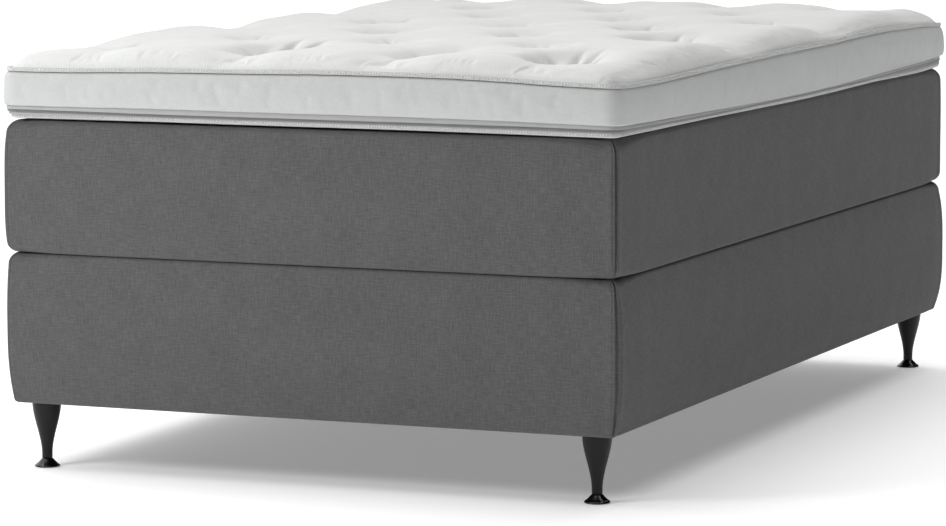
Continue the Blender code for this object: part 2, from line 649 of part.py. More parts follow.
def make_topper_cover():
    """Tufted top and puffed border in one, open underneath for the core."""
    seam_inset, seam = UPPER_TAPE_INSET + SEAM_SLOPE, UPPER_SEAM + SEAM_RISE
    half_x, half_y = BED_WIDTH / 2 - seam_inset, BED_LENGTH / 2 - seam_inset
    inner_x = tuft_lines(LAST_TUFT_X, TUFT_COLUMNS, half_x)
    inner_y = tuft_lines(LAST_TUFT_Y, TUFT_ROWS, half_y)
    radius = TOPPER_CORNER - seam_inset
    xs, ys = plan_lines(half_x, radius, inner_x), plan_lines(half_y, radius, inner_y)
    bm = bmesh.new()
    grid = []
    for x in xs:
        column = []
        for y in ys:
            px, py = soften_corner(x, y, half_x, half_y, radius)
            column.append(bm.verts.new((px, py, crown_height(x, y, half_x, half_y, seam))))
        grid.append(column)
    split_alternately(bm, grid)

    shoulder = UPPER_SEAM - SEAM_RISE
    border = [(UPPER_TAPE_INSET + SEAM_DEPTH, UPPER_SEAM), (seam_inset, shoulder),
              (UPPER_TAPE_INSET - SHOULDER_STAND, shoulder)]
    border += [(BORDER_FOLD * inward - BORDER_BELLY * (1 - inward),
                shoulder + (BORDER_BOTTOM - shoulder) * down)
               for down, inward in BORDER_FOLD_SHARES]
    border += [(BORDER_FOLD, BORDER_BOTTOM), (CORE_INSET, BORDER_BOTTOM), (CORE_INSET, CORE_TOP + GAP)]
    loops = [[grid[i][j] for i, j in edge_walk(len(xs), len(ys))]]
    loops += [raise_loop(bm, plan_loop(inset, TOPPER_CORNER, inner_x, inner_y), z)
              for inset, z in border]
    for first, second in zip(loops, loops[1:]):
        bridge(bm, first, second)
    bm.faces.new(loops[-1])
    finish_object("topper_cover", bm, WHITE_KNIT)


def make_topper_underside():
    """Shallow tray of quilted cloth under the core."""
    floor = TOPPER_BOTTOM + TRAY_FLOOR
    profile = [(TRAY_INSET, TRAY_TOP - GAP), (TRAY_INSET, TOPPER_BOTTOM)]
    rim = [(CORE_INSET, floor), (CORE_INSET, TRAY_TOP - GAP)]
    bm = bmesh.new()
    loops = [raise_loop(bm, plan_loop(inset, TOPPER_CORNER), z) for inset, z in profile + rim]
    bridge(bm, loops[0], loops[1])
    bridge(bm, loops[2], loops[3])
    bridge(bm, loops[3], loops[0])
    bm.faces.new(loops[1])
    bm.faces.new(loops[2])
    finish_object("topper_underside", bm, WHITE_KNIT)


def make_topper():
    make_topper_cover()
    make_topper_underside()
    core = CORE_INSET + GAP
    stacked_slab("topper_core", FOAM, [(core, TOPPER_BOTTOM + TRAY_FLOOR + GAP), (core, CORE_TOP)],
                 TOPPER_CORNER)
    swept_ring("topper_tape_edge_upper", WHITE_TAPE,
               tape_profile(UPPER_TAPE_INSET, UPPER_SEAM, UPPER_TAPE_HALF), TOPPER_CORNER)
    lower_centre = TRAY_TOP - GAP - LOWER_TAPE_HALF
    swept_ring("topper_tape_edge_lower", WHITE_TAPE,
               tape_profile(LOWER_TAPE_INSET, lower_centre, LOWER_TAPE_HALF), TOPPER_CORNER)
    swept_ring("topper_zip_tape_lower", GREY_ZIP,
               band(ZIP_INSET, ZIP_TAPE_THICK, ZIP_LOWER_BOTTOM, ZIP_LOWER_TOP), TOPPER_CORNER)
    swept_ring("topper_zip_chain", GREY_COIL,
               band(ZIP_INSET - ZIP_CHAIN_STAND, ZIP_TAPE_THICK + 2 * ZIP_CHAIN_STAND,
                    CHAIN_BOTTOM, CHAIN_TOP), TOPPER_CORNER)
    swept_ring("topper_zip_tape_upper", GREY_ZIP,
               band(ZIP_INSET, ZIP_TAPE_THICK, ZIP_UPPER_BOTTOM, ZIP_UPPER_TOP), TOPPER_CORNER)


# Zip slider and its pull tab, on the chain at the head end

def make_zip_slider():
    x = SLIDER_START_SHARE * BED_WIDTH / 2
    z = (CHAIN_BOTTOM + CHAIN_TOP) / 2
    chain_face = BED_LENGTH / 2 - ZIP_INSET + ZIP_CHAIN_STAND
    back, front = chain_face + GAP, chain_face + GAP + SLIDER_PLATE
    origin = (x, chain_face, z)
    slider = eased_box("topper_zip_slider", NICKEL,
                       (x - SLIDER_LENGTH / 2, back - SLIDER_LIP, z - SLIDER_WIDTH / 2),
                       (x + SLIDER_LENGTH / 2, front, z + SLIDER_WIDTH / 2), PULL_EASE, origin)
    slot_half = ZIP_CHAIN_WIDTH / 2 + GAP
    slot_x = SLIDER_LENGTH / 2 + OVERRUN
    slot = eased_box("slider_slot", NICKEL, (x - slot_x, back - SLIDER_LIP - OVERRUN, z - slot_half),
                     (x + slot_x, back, z + slot_half), origin=origin)
    boolean(slider, as_cutter(slot), "DIFFERENCE")
    pivot_y = front + HINGE_STAND
    for label, sign in (("left", -1), ("right", 1)):
        xs = sorted((x + sign * CHEEK_SPACE / 2, x + sign * (CHEEK_SPACE / 2 + CHEEK_THICK)))
        cheek = eased_box("cheek_" + label, NICKEL, (xs[0], front - SLIDER_PLATE / 2, z - CHEEK_WIDTH / 2),
                          (xs[1], front + CHEEK_STAND, z + CHEEK_WIDTH / 2), origin=origin)
        boolean(slider, as_cutter(cheek), "UNION")
    pin_x = CHEEK_SPACE / 2 + CHEEK_THICK / 2
    pin = rod_along_x("hinge_pin", NICKEL, HINGE_PIN_RADIUS, x - pin_x, x + pin_x, pivot_y, z,
                      HINGE_SIDES, origin)
    boolean(slider, as_cutter(pin), "UNION")

    pivot = (x, pivot_y, z)
    eye_x = CHEEK_SPACE / 2 - GAP
    pull = rod_along_x("topper_zip_pull", NICKEL, PULL_EYE_RADIUS, x - eye_x, x + eye_x, pivot_y, z,
                       HINGE_SIDES, pivot)
    tab_half = PULL_THICK / 2
    tab_top = z - math.hypot(CHEEK_WIDTH / 2, CHEEK_STAND - HINGE_STAND) - 2 * GAP
    tab = eased_box("pull_tab", NICKEL, (x - PULL_WIDTH / 2, pivot_y - tab_half, z - PULL_LENGTH),
                    (x + PULL_WIDTH / 2, pivot_y + tab_half, tab_top), PULL_EASE, pivot)
    neck = eased_box("pull_neck", NICKEL, (x - eye_x, pivot_y - tab_half, tab_top - PULL_THICK),
                     (x + eye_x, pivot_y + tab_half, z), origin=pivot)
    boolean(pull, as_cutter(tab), "UNION")
    boolean(pull, as_cutter(neck), "UNION")
    eye = rod_along_x("pull_eye", NICKEL, HINGE_PIN_RADIUS + GAP, x - CHEEK_SPACE, x + CHEEK_SPACE,
                      pivot_y, z, HINGE_SIDES, pivot)
    boolean(pull, as_cutter(eye), "DIFFERENCE")


def main():
    clear_scene()
    for corner_name, x, y in corners():
        make_leg(corner_name, x, y)
        make_foot(corner_name, x, y)
        make_bolt(corner_name, x, y)
        make_insert(corner_name, x, y)
        make_block(corner_name, x, y)
    make_frame()
    make_base_upholstery()
    make_mattress()
    make_topper()
    make_zip_slider()


main()
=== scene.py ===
import math

import bpy
import numpy as np
from mathutils import Matrix, Vector, noise


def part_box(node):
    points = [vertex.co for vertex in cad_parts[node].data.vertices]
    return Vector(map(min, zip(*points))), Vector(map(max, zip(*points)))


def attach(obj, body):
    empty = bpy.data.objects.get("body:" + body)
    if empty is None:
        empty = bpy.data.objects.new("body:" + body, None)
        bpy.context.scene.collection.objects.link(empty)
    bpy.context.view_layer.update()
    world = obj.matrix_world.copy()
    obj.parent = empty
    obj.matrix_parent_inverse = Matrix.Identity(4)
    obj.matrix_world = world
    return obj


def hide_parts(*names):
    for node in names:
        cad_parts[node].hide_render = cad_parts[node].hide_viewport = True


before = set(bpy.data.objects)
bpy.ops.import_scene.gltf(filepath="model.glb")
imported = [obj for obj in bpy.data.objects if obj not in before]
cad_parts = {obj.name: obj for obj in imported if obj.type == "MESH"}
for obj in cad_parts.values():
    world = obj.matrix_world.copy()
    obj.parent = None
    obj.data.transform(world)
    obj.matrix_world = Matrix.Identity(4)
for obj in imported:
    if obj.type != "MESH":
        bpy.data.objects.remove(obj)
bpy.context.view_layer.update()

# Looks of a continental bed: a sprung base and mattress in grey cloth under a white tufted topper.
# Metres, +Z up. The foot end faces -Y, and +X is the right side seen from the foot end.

MM = 0.001

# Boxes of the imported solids, each its lowest and highest corner
BASE, MATTRESS, TOPPER = (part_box(layer + "_cover") for layer in ("base", "mattress", "topper"))
UPPER_TAPE, LOWER_TAPE = (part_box("topper_tape_edge_" + edge) for edge in ("upper", "lower"))
ZIP_UPPER, ZIP_LOWER = (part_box("topper_zip_tape_" + edge) for edge in ("upper", "lower"))
ZIP_CHAIN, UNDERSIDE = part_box("topper_zip_chain"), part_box("topper_underside")
SIDE_BELLY = 6 * MM
HALF_X, HALF_Y = BASE[1].x - SIDE_BELLY, BASE[1].y - SIDE_BELLY
LEG_PLACE = (550 * MM, 950 * MM)


# Node materials

def linear(hex_colour):
    """Linear RGBA of an sRGB hex colour."""
    channels = [int(hex_colour[k:k + 2], 16) / 255 for k in (1, 3, 5)]
    return (*[c / 12.92 if c <= 0.04045 else ((c + 0.055) / 1.055) ** 2.4 for c in channels], 1.0)


def add(tree, kind, settings=None, **links):
    """Adds a node with its settings. A link is an input's name, or in and its number, with a value
    or another node's output."""
    node = tree.nodes.new(kind)
    for name, value in (settings or {}).items():
        setattr(node, name, value)
    for name, value in links.items():
        key = int(name[2:]) if name[2:].isdigit() else name.replace("_", " ")
        if isinstance(value, bpy.types.NodeSocket):
            tree.links.new(value, node.inputs[key])
        else:
            node.inputs[key].default_value = value
    return node


def material(name, hex_colour, roughness, metallic=0.0, ior=1.5, **values):
    """A material and its Principled shader, whose plain values start from the real finish."""
    mat = bpy.data.materials.new(name)
    mat.use_nodes = True
    shader = mat.node_tree.nodes["Principled BSDF"]
    plain = {"Base Color": linear(hex_colour), "Roughness": roughness, "Metallic": metallic}
    if not metallic:
        plain["IOR"] = ior
    plain.update({key.replace("_", " "): value for key, value in values.items()})
    for key, value in plain.items():
        shader.inputs[key].default_value = value
    return mat, mat.node_tree, shader


def pattern(tree, place, sizes, kind="ShaderNodeTexNoise", settings=None, **values):
    """A texture over the place's metres, with one unit to each size in mm."""
    scale = (*[1 / (size * MM) for size in sizes], 1.0)[:3]
    spread = add(tree, "ShaderNodeMapping", in0=place, Scale=scale)
    return add(tree, kind, settings, Vector=spread.outputs["Vector"], Scale=1.0, **values)


def dress(tree, shader, tint, span, dark, light, relief, strength, depth):
    """Colour from dark to light as the tint runs over its span, and bumps of a depth in mm."""
    ramp = add(tree, "ShaderNodeValToRGB", Fac=tint)
    for end, position, colour in zip(ramp.color_ramp.elements, span, (dark, light)):
        end.position, end.color = position, linear(colour)
    bump = add(tree, "ShaderNodeBump", Strength=strength, Distance=depth * MM, Height=relief)
    tree.links.new(ramp.outputs["Color"], shader.inputs["Base Color"])
    tree.links.new(bump.outputs[0], shader.inputs["Normal"])


def grey_weave():
    """Polyester upholstery weave, yarn dyed in two greys: matt, with a fine vertical slub."""
    mat, tree, shader = material("grey_polyester_weave", "#616162", 0.92, Sheen_Weight=0.05,
                                 Sheen_Roughness=0.5, Specular_IOR_Level=0.15)
    cloth = add(tree, "ShaderNodeUVMap", {"uv_map": "cloth"}).outputs["UV"]
    # Yarns lie 0.8 mm apart; drawn at 2.6 mm, because the real pitch is finer than a pixel
    yarn = 2.6
    warp = pattern(tree, cloth, (yarn, 9 * yarn), Detail=2.0, Roughness=0.6)
    weft = pattern(tree, cloth, (8 * yarn, yarn), Detail=2.0, Roughness=0.6)
    speck = pattern(tree, cloth, (yarn, yarn), Detail=3.0, Roughness=0.7)
    yarns = warp
    for other in (weft, speck):
        yarns = add(tree, "ShaderNodeMath", {"operation": "ADD"}, in0=yarns.outputs[0],
                    in1=other.outputs[0])
    yarns = add(tree, "ShaderNodeMath", {"operation": "MULTIPLY"}, in0=yarns.outputs[0], in1=1 / 3)
    # Dye takes a little unevenly over a hand's width
    cloud = pattern(tree, cloth, (60, 90), Detail=2.0)
    mixed = add(tree, "ShaderNodeMath", {"operation": "MULTIPLY_ADD"}, in0=cloud.outputs[0], in1=0.12,
                in2=yarns.outputs[0])
    dress(tree, shader, mixed.outputs[0], (0.38, 0.74), "#515152", "#707071", yarns.outputs[0], 0.35,
          0.5)
    return mat


def white_knit(name, hex_light, hex_dark, loop):
    """Double-knit ticking of polyester: soft, bright, faintly ribbed in its loops."""
    mat, tree, shader = material(name, hex_light, 0.88, Sheen_Weight=0.08, Sheen_Roughness=0.6,
                                 Specular_IOR_Level=0.15)
    cloth = add(tree, "ShaderNodeUVMap", {"uv_map": "cloth"}).outputs["UV"]
    loops = pattern(tree, cloth, (loop, 2.2 * loop), Detail=2.0, Roughness=0.6)
    cloud = pattern(tree, cloth, (70, 50), Detail=2.0)
    mixed = add(tree, "ShaderNodeMath", {"operation": "MULTIPLY_ADD"}, in0=cloud.outputs[0], in1=0.5,
                in2=loops.outputs[0])
    dress(tree, shader, mixed.outputs[0], (0.5, 1.0), hex_dark, hex_light, loops.outputs[0], 0.12, 0.4)
    return mat


def ribbed_tape(name, hex_dark, hex_light, rib, roughness=0.8):
    """Woven polyester tape: fine ribs across its run, which catch light side on."""
    mat, tree, shader = material(name, hex_light, roughness, Sheen_Weight=0.15,
                                 Specular_IOR_Level=0.3)
    cloth = add(tree, "ShaderNodeUVMap", {"uv_map": "cloth"}).outputs["UV"]
    ribs = pattern(tree, cloth, (rib * math.pi, 4), "ShaderNodeTexWave",
                   {"wave_type": "BANDS", "bands_direction": "X"}, Distortion=0.6, Detail=1.0)
    ribs = ribs.outputs["Fac"]
    dress(tree, shader, ribs, (0.0, 1.0), hex_dark, hex_light, ribs, 0.4, 0.3)
    return mat


def grained(name, hex_dark, hex_light, roughness, sizes, bump=0.2):
    """A material clouded by one stretched noise: fibres, foam cells or wood grain of that size."""
    mat, tree, shader = material(name, hex_light, roughness)
    place = add(tree, "ShaderNodeTexCoord").outputs["Object"]
    grain = pattern(tree, place, sizes, Detail=4.0, Roughness=0.6).outputs[0]
    dress(tree, shader, grain, (0.35, 0.65), hex_dark, hex_light, grain, bump, 0.5)
    return mat


def polished(name, hex_colour, roughness, sizes, detail, gloss_range, bump, depth, **values):
    """A smooth finish, whose gloss and surface vary in marks of these sizes."""
    mat, tree, shader = material(name, hex_colour, roughness, **values)
    place = add(tree, "ShaderNodeTexCoord").outputs["Object"]
    marks = pattern(tree, place, sizes, Detail=detail).outputs[0]
    gloss = add(tree, "ShaderNodeMapRange", Value=marks, To_Min=roughness * gloss_range[0],
                To_Max=roughness * gloss_range[1])
    relief = add(tree, "ShaderNodeBump", Strength=bump, Distance=depth * MM, Height=marks)
    tree.links.new(gloss.outputs[0], shader.inputs["Roughness"])
    tree.links.new(relief.outputs[0], shader.inputs["Normal"])
    return mat


def plated(name, hex_colour, roughness):
    """Plated metal: bright, with fine rub marks that vary its gloss."""
    return polished(name, hex_colour, roughness, (2, 2, 2), 5.0, (0.7, 1.5), 0.1, 0.1, metallic=1.0)


def blackened(name, hex_colour, roughness, coat, wave, bump, **values):
    """Black lacquer or moulded plastic: smooth, with the slight waviness of a real surface."""
    return polished(name, hex_colour, roughness, (wave, wave, 4 * wave), 3.0, (0.8, 1.25), bump, 0.2,
                    Coat_Weight=coat, Coat_Roughness=0.15, **values)


MATERIALS = {
    "grey_weave": grey_weave(),
    "grey_thread": ribbed_tape("grey_polyester_thread", "#3f3f40", "#5a5a5b", 0.8),
    "white_knit": white_knit("white_double_knit", "#e7e8e6", "#dcdddb", 3),
    # The border's knit is the top's white knit painted darker: painted shade for its upright sides, which
    # get less light than the top
    "border_knit_painted_shade": white_knit("white_knit_painted_shade", "#cfd1d0", "#c6c8c7", 2.5),
    "white_tape": ribbed_tape("white_tape_edge", "#c0c0bf", "#d4d4d3", 1.2),
    "white_thread": ribbed_tape("white_polyester_thread", "#dededd", "#f2f2f1", 0.8),
    "zip_tape": ribbed_tape("grey_zip_tape", "#b2b2b2", "#c4c4c4", 1.0),
    # Nylon monofilament: smoother than the tapes, so each turn has a faint glint; its grey is painted
    # darker, as shade of its recess
    "zip_coil": ribbed_tape("grey_nylon_coil_painted_shade", "#8e8e8e", "#a2a2a2", 1.2, roughness=0.45),
    # Bonded fibres: dead matt and mottled
    "nonwoven": grained("black_spunbond_cloth", "#161616", "#242424", 0.95, (4, 4, 4), 0.4),
    # Satin lacquer on turned beech: deep black with one soft streak of light
    "black_lacquer": blackened("black_satin_lacquer", "#0a0a0b", 0.42, 0.08, 9, 0.05,
                               Specular_IOR_Level=0.25),
    # Moulded polypropylene: glossier than the leg above it
    "black_plastic": blackened("black_moulded_plastic", "#08080a", 0.2, 0.2, 6, 0.03),
    "zinc_steel": plated("zinc_plated_steel", "#b9bcc0", 0.35),
    "nickel": plated("nickel_plated_zinc", "#c4c0b8", 0.25),
    # Planed softwood: long pale streaks along the board
    "pine": grained("planed_pine", "#b98d57", "#dcb886", 0.6, (220, 9, 9)),
    "pine_along": grained("planed_pine_along", "#b98d57", "#dcb886", 0.6, (9, 220, 9)),
    # Sawn beech: short upright flecks
    "beech": grained("beech_block", "#a97c52", "#c99c70", 0.55, (6, 6, 60)),
    # Needled fibres: rough and flecked
    "felt": grained("needled_felt", "#6f6f6c", "#8d8d89", 1.0, (5, 5, 3), 0.6),
    # Cut foam: matt, with open cells
    "foam": grained("cream_foam", "#d5c28d", "#e8daae", 1.0, (3, 3, 3), 0.5),
    # Loose polyester fibre: soft and cloudy
    "wadding": grained("white_wadding", "#d6d6d2", "#eeeeea", 1.0, (8, 8, 8), 0.7),
    # Spring pockets of spunbond: pale, creased along each pocket
    "pocket_cloth": grained("white_pocket_cloth", "#cdd2d6", "#e3e7ea", 0.9, (5, 5, 30), 0.4),
}


# Pieces and their meshes

def add_object(name, data):
    added = bpy.data.objects.new(name, data)
    bpy.context.scene.collection.objects.link(added)
    return added


def make_piece(name, points, faces, uvs, body, slot, finish=None, replaces=()):
    """One smooth-shaded piece from arrays, with metres along its cloth as its map."""
    mesh = bpy.data.meshes.new(name)
    mesh.from_pydata([tuple(p) for p in np.asarray(points)], [], [tuple(f) for f in faces])
    mesh.polygons.foreach_set("use_smooth", np.ones(len(mesh.polygons), bool))
    mesh.uv_layers.new(name="cloth").data.foreach_set("uv", np.asarray(uvs, np.float32).ravel())
    mesh.materials.append(MATERIALS[finish or slot])
    piece = add_object(name, mesh)
    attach(piece, body)
    if replaces:
        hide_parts(*replaces)
    return piece


def grid_cells(rows, columns):
    """Row and column of the first corner of each cell of a grid."""
    r, c = np.meshgrid(np.arange(rows), np.arange(columns), indexing="ij")
    return r.ravel(), c.ravel()


def grid_faces(rows, columns):
    """Quads of a grid with this many rows and columns of points."""
    r, c = grid_cells(rows - 1, columns - 1)
    first = r * columns + c
    return np.stack([first, first + columns, first + columns + 1, first + 1], 1)


def make_rings(name, rows, along, up, body, slot, finish=None, replaces=(), caps=""):
    """A sleeve through closed rows of points. along is metres round it, with one more value than
    there are columns, and up is metres from row to row. caps names the ends that are closed."""
    rows = np.asarray(rows)
    count, columns = rows.shape[:2]
    r, c = (v[:, None] for v in grid_cells(count - 1, columns))
    row, column = r + (0, 0, 1, 1), c + (0, 1, 1, 0)
    faces = [tuple(f) for f in row * columns + column % columns]
    uvs = np.stack([np.asarray(along)[column], np.asarray(up)[row]], -1).reshape(-1, 2)
    if "last" in caps:
        last = (count - 1) * columns
        faces.append(tuple(range(last, last + columns)))
        uvs = np.vstack([uvs, rows[-1][:, :2]])
    if "first" in caps:
        faces.append(tuple(reversed(range(columns))))
        uvs = np.vstack([uvs, rows[0][::-1, :2]])
    return make_piece(name, rows.reshape(-1, 3), faces, uvs, body, slot, finish, replaces)


def apply_modifiers(piece):
    depsgraph = bpy.context.evaluated_depsgraph_get()
    mesh = bpy.data.meshes.new_from_object(piece.evaluated_get(depsgraph), depsgraph=depsgraph,
                                           preserve_all_data_layers=True)
    old = piece.data
    piece.modifiers.clear()
    piece.data = mesh
    bpy.data.meshes.remove(old)


def fractal(points, size, seed, octaves=3):
    """Smooth noise from -1 to 1 at 3-D points, with features of about this size."""
    shift = Vector((seed * 7.3, seed * 3.1, seed * 5.7))
    out = np.zeros(len(points))
    for k in range(octaves):
        scale = 2 ** k / size
        out += [noise.noise(Vector(p) * scale + shift) / 2 ** k for p in points]
    return out


def bell(distance, width):
    return np.exp(-(distance / width) ** 2)


def hands(outward):
    """How far each normal faces right, and how far left, from 0 to 1."""
    return np.clip(outward[:, 0], 0, 1), np.clip(-outward[:, 0], 0, 1)


# Plan outlines: columns that keep their share along each side whatever the outline's size

SIDE_NORMALS = np.array([(0, -1), (1, 0), (0, 1), (-1, 0)], float)
SIDE_RUNS = np.array([(1, 0), (0, 1), (-1, 0), (0, -1)], float)


def plan_columns(corner, spacing, near=(0.0,)):
    """Columns round the bed's outline, anticlockwise from the front left corner's middle. Each has its
    side, its share along the straight run, its angle into the corner, and its distance from the last
    corner's middle and to the next one. near gives the first ones beside each corner. With them come
    the metres round the outline."""
    columns, lengths = [], []
    for side in range(4):
        straight = (HALF_X, HALF_Y)[side % 2] - corner
        reach = straight + corner * math.pi / 4
        start, lead = near[-1], list(near[:-1])
        count = max(2, round((2 * reach - 2 * start) / spacing))
        places = [start + (2 * reach - 2 * start) * k / count for k in range(count + 1)]
        if lead:
            places = [0.0, *lead, *places, *(2 * reach - v for v in reversed(lead))]
        else:
            places.pop()
        for place in places:
            a = place - reach
            share = max(-1.0, min(1.0, a / straight))
            angle = math.copysign(max(0.0, abs(a) - straight) / corner, a)
            columns.append((side, share, angle, place, 2 * reach - place))
        lengths.append(2 * reach)
    table, ends = np.array(columns), np.concatenate([[0], np.cumsum(lengths)])
    return table, np.append(ends[table[:, 0].astype(int)] + table[:, 3], ends[-1])


def plan_ring(table, inset, corner):
    """Points and outward normals of the columns on an outline this far inside the bed's."""
    side = table[:, 0].astype(int)
    normal, run = SIDE_NORMALS[side], SIDE_RUNS[side]
    reach = np.where(side % 2 == 0, HALF_Y, HALF_X) - inset - corner
    straight = np.where(side % 2 == 0, HALF_X, HALF_Y) - inset - corner
    outward = normal * np.cos(table[:, 2])[:, None] + run * np.sin(table[:, 2])[:, None]
    points = (normal * reach[:, None] + run * (straight * table[:, 1])[:, None]
              + outward * np.broadcast_to(corner, len(table))[:, None])
    return points, outward


# Camera, floor and light

CAMERA_PLACE = (3.2557, -8.0436, 1.2946)
CAMERA_YAW, CAMERA_PITCH = -0.3801, 0.1136
FOCAL_PIXELS, CENTRE_PIXEL_X, IMAGE_WIDTH = 4328.18, 530, 946
SENSOR_WIDTH = 36
FLOOR_REACH, FLOOR_DROP = 30.0, 0.5 * MM


def add_camera():
    """The photograph's view: 21.8 degrees from the foot end's square view and 6.5 degrees down."""
    data = bpy.data.cameras.new("camera")
    data.sensor_width = SENSOR_WIDTH
    data.lens = FOCAL_PIXELS / IMAGE_WIDTH * SENSOR_WIDTH
    data.shift_x = (IMAGE_WIDTH / 2 - CENTRE_PIXEL_X) / IMAGE_WIDTH
    data.clip_end = 100
    camera = add_object("camera", data)
    forward = Vector((math.sin(CAMERA_YAW) * math.cos(CAMERA_PITCH),
                      math.cos(CAMERA_YAW) * math.cos(CAMERA_PITCH), -math.sin(CAMERA_PITCH)))
    right = Vector((math.cos(CAMERA_YAW), -math.sin(CAMERA_YAW), 0))
    turn = Matrix((right, right.cross(forward), -forward)).transposed().to_4x4()
    camera.matrix_world = Matrix.Translation(CAMERA_PLACE) @ turn
    bpy.context.scene.camera = camera


def add_light(name, kind, place, aim, power, **settings):
    data = bpy.data.lights.new(name, kind)
    data.energy = power
    for setting, value in settings.items():
        setattr(data, setting, value)
    light = add_object(name, data)
    light.location = place
    light.rotation_euler = (Vector(aim) - Vector(place)).to_track_quat("-Z", "Y").to_euler()


def add_studio():
    """White floor, a broad soft light overhead, a broader one from the rear left and a softbox at
    the front left."""
    mesh = bpy.data.meshes.new("floor")
    corners = [(x * FLOOR_REACH, y * FLOOR_REACH, -FLOOR_DROP)
               for x, y in ((-1, -1), (1, -1), (1, 1), (-1, 1))]
    mesh.from_pydata(corners, [], [(0, 1, 2, 3)])
    floor = add_object("floor", mesh)
    mat, _, _ = material("white_studio_floor", "#fafafa", 0.9, Emission_Strength=0.28,
                         Emission_Color=linear("#ffffff"), Specular_IOR_Level=0.1)
    mesh.materials.append(mat)

    world = bpy.data.worlds.new("studio")
    bpy.context.scene.world = world
    world.use_nodes = True
    world.node_tree.nodes["Background"].inputs["Strength"].default_value = 0.0
    add_light("overhead", "SUN", (0, 0, 5), (0, 0, 0), 1.38, angle=math.radians(60))
    add_light("from_rear_left", "SUN", (-3, 3, 4), (0, 0, 0), 2.1, angle=math.radians(90))
    add_light("softbox", "AREA", (-1.6, -3.0, 2.05), (-0.3, -1.0, 0.5), 39, shape="DISK", size=1.2)
    bpy.context.scene.view_settings.view_transform = "Standard"


# Upholstered covers of base and mattress

# Bottom and top edge rounds at the corners and between them, hem, lean of the bottom and top edges,
# swell of the left, right and end panels and crown of the top, mm
BASE_SHAPE = (8, 22, 8, 8, 18, 8, 2, 1, 9, 5, 0)
MATTRESS_SHAPE = (20, 26, 7, 9, 45, 0, 1, 4, 0, 4, 6)
CORNER_ROUND_REACH = 75 * MM
LEAN_RISE = 110 * MM
CROWN_REACH = 150 * MM
HEM_RISE = 3 * MM
COVER_CORNER, COVER_SPACING, COVER_ROW = 13 * MM, 14 * MM, 12 * MM
# Columns beside a seam, and the one among them that carries the topstitching
NEAR_SEAM = [v * MM for v in (0.6, 1.2, 1.9, 2.7, 3.6, 4.5, 5.2, 5.8, 6.4, 7.1, 8.2, 9.8, 12, 15, 18.5,
                              23, 29, 37, 47, 59)]
TOPSTITCH_COLUMN, TOPSTITCH_ROWS = 5.8 * MM, slice(5, -8)
SEAM_GROOVE, SEAM_GROOVE_WIDTH, GROOVE_REACH = 4.5 * MM, 2.0 * MM, 30 * MM
TOPSTITCH_OFFSET, TOPSTITCH_GROOVE, TOPSTITCH_WIDTH = 6.0 * MM, 1.0 * MM, 0.8 * MM
SEAM_RIDGE, RIDGE_OFFSET, SEAM_RIDGE_WIDTH = 1.5 * MM, 3.2 * MM, 2.2 * MM
SEAM_HOLLOW, HOLLOW_FROM_SEAM, HOLLOW_WIDTH = 1.3 * MM, 26 * MM, 13 * MM
STITCH_LIFT = 0.1 * MM
BELLY_LOSS_AT_SEAM, BELLY_LOSS_WIDTH = 0.15, 55 * MM
PANEL_DENT, PANEL_DENT_SIZE = 1.1 * MM, 230 * MM
TOP_RINGS = [v * MM for v in (12, 30, 60, 110, 180, 280, 400, 520)]
STITCH_PITCH, STITCH_LENGTH, THREAD_RADIUS = 3.4 * MM, 2.5 * MM, 0.32 * MM


def side_profile(low, high, bottom_round, top_round, hem, bottom_lean, top_lean):
    """Rows from the hem under the cover, up its side and over its top edge. Each has its inset, its
    level, its slope (0 upright, 90 flat on top, -90 flat underneath), its belly's share and its way in
    over the top. The rounds are given for each column."""
    edge, flat = bottom_lean + bottom_round, np.zeros(len(top_round))
    rows = [(hem + flat, low + HEM_RISE + flat, -90, 0.0, 0.0), (hem + flat, low + flat, -90, 0.0, 0.0),
            (edge + 4 * MM, low + flat, -90, 0.0, 0.0)]
    for degrees in range(0, 91, 15):
        turn = math.radians(degrees)
        rows.append((edge - bottom_round * math.sin(turn), low + bottom_round * (1 - math.cos(turn)),
                     degrees - 90, 0.0, 0.0))
    bottom, top = low + bottom_round, high - top_round
    count = round((high - low - 35 * MM) / COVER_ROW)
    for k in range(1, count):
        share = k / count
        z = bottom + (top - bottom) * share
        inset = (bottom_lean * np.maximum(0.0, 1 - (z - bottom) / LEAN_RISE) ** 2
                 + top_lean * np.maximum(0.0, 1 - (top - z) / LEAN_RISE) ** 2)
        rows.append((inset, z, 0.0, 1 - (2 * share - 1) ** 4, 0.0))
    for degrees in range(0, 91, 10):
        turn = math.radians(degrees)
        rows.append((top_lean + top_round * (1 - math.cos(turn)), top + top_round * math.sin(turn),
                     degrees, 0.0, 0.0))
    return rows + [(top_lean + top_round + run, high + flat, 90, 0.0, run) for run in TOP_RINGS]


def seam_relief(distance):
    """How far the cloth stands out at this distance from a sewn corner: a deep groove on the seam,
    a ridge over the turned edges, a row of topstitching, then a slight hollow."""
    return (SEAM_RIDGE * bell(distance - RIDGE_OFFSET, SEAM_RIDGE_WIDTH)
            - SEAM_GROOVE * bell(distance, SEAM_GROOVE_WIDTH)
            - TOPSTITCH_GROOVE * bell(distance - TOPSTITCH_OFFSET, TOPSTITCH_WIDTH)
            - SEAM_HOLLOW * bell(distance - HOLLOW_FROM_SEAM, HOLLOW_WIDTH))


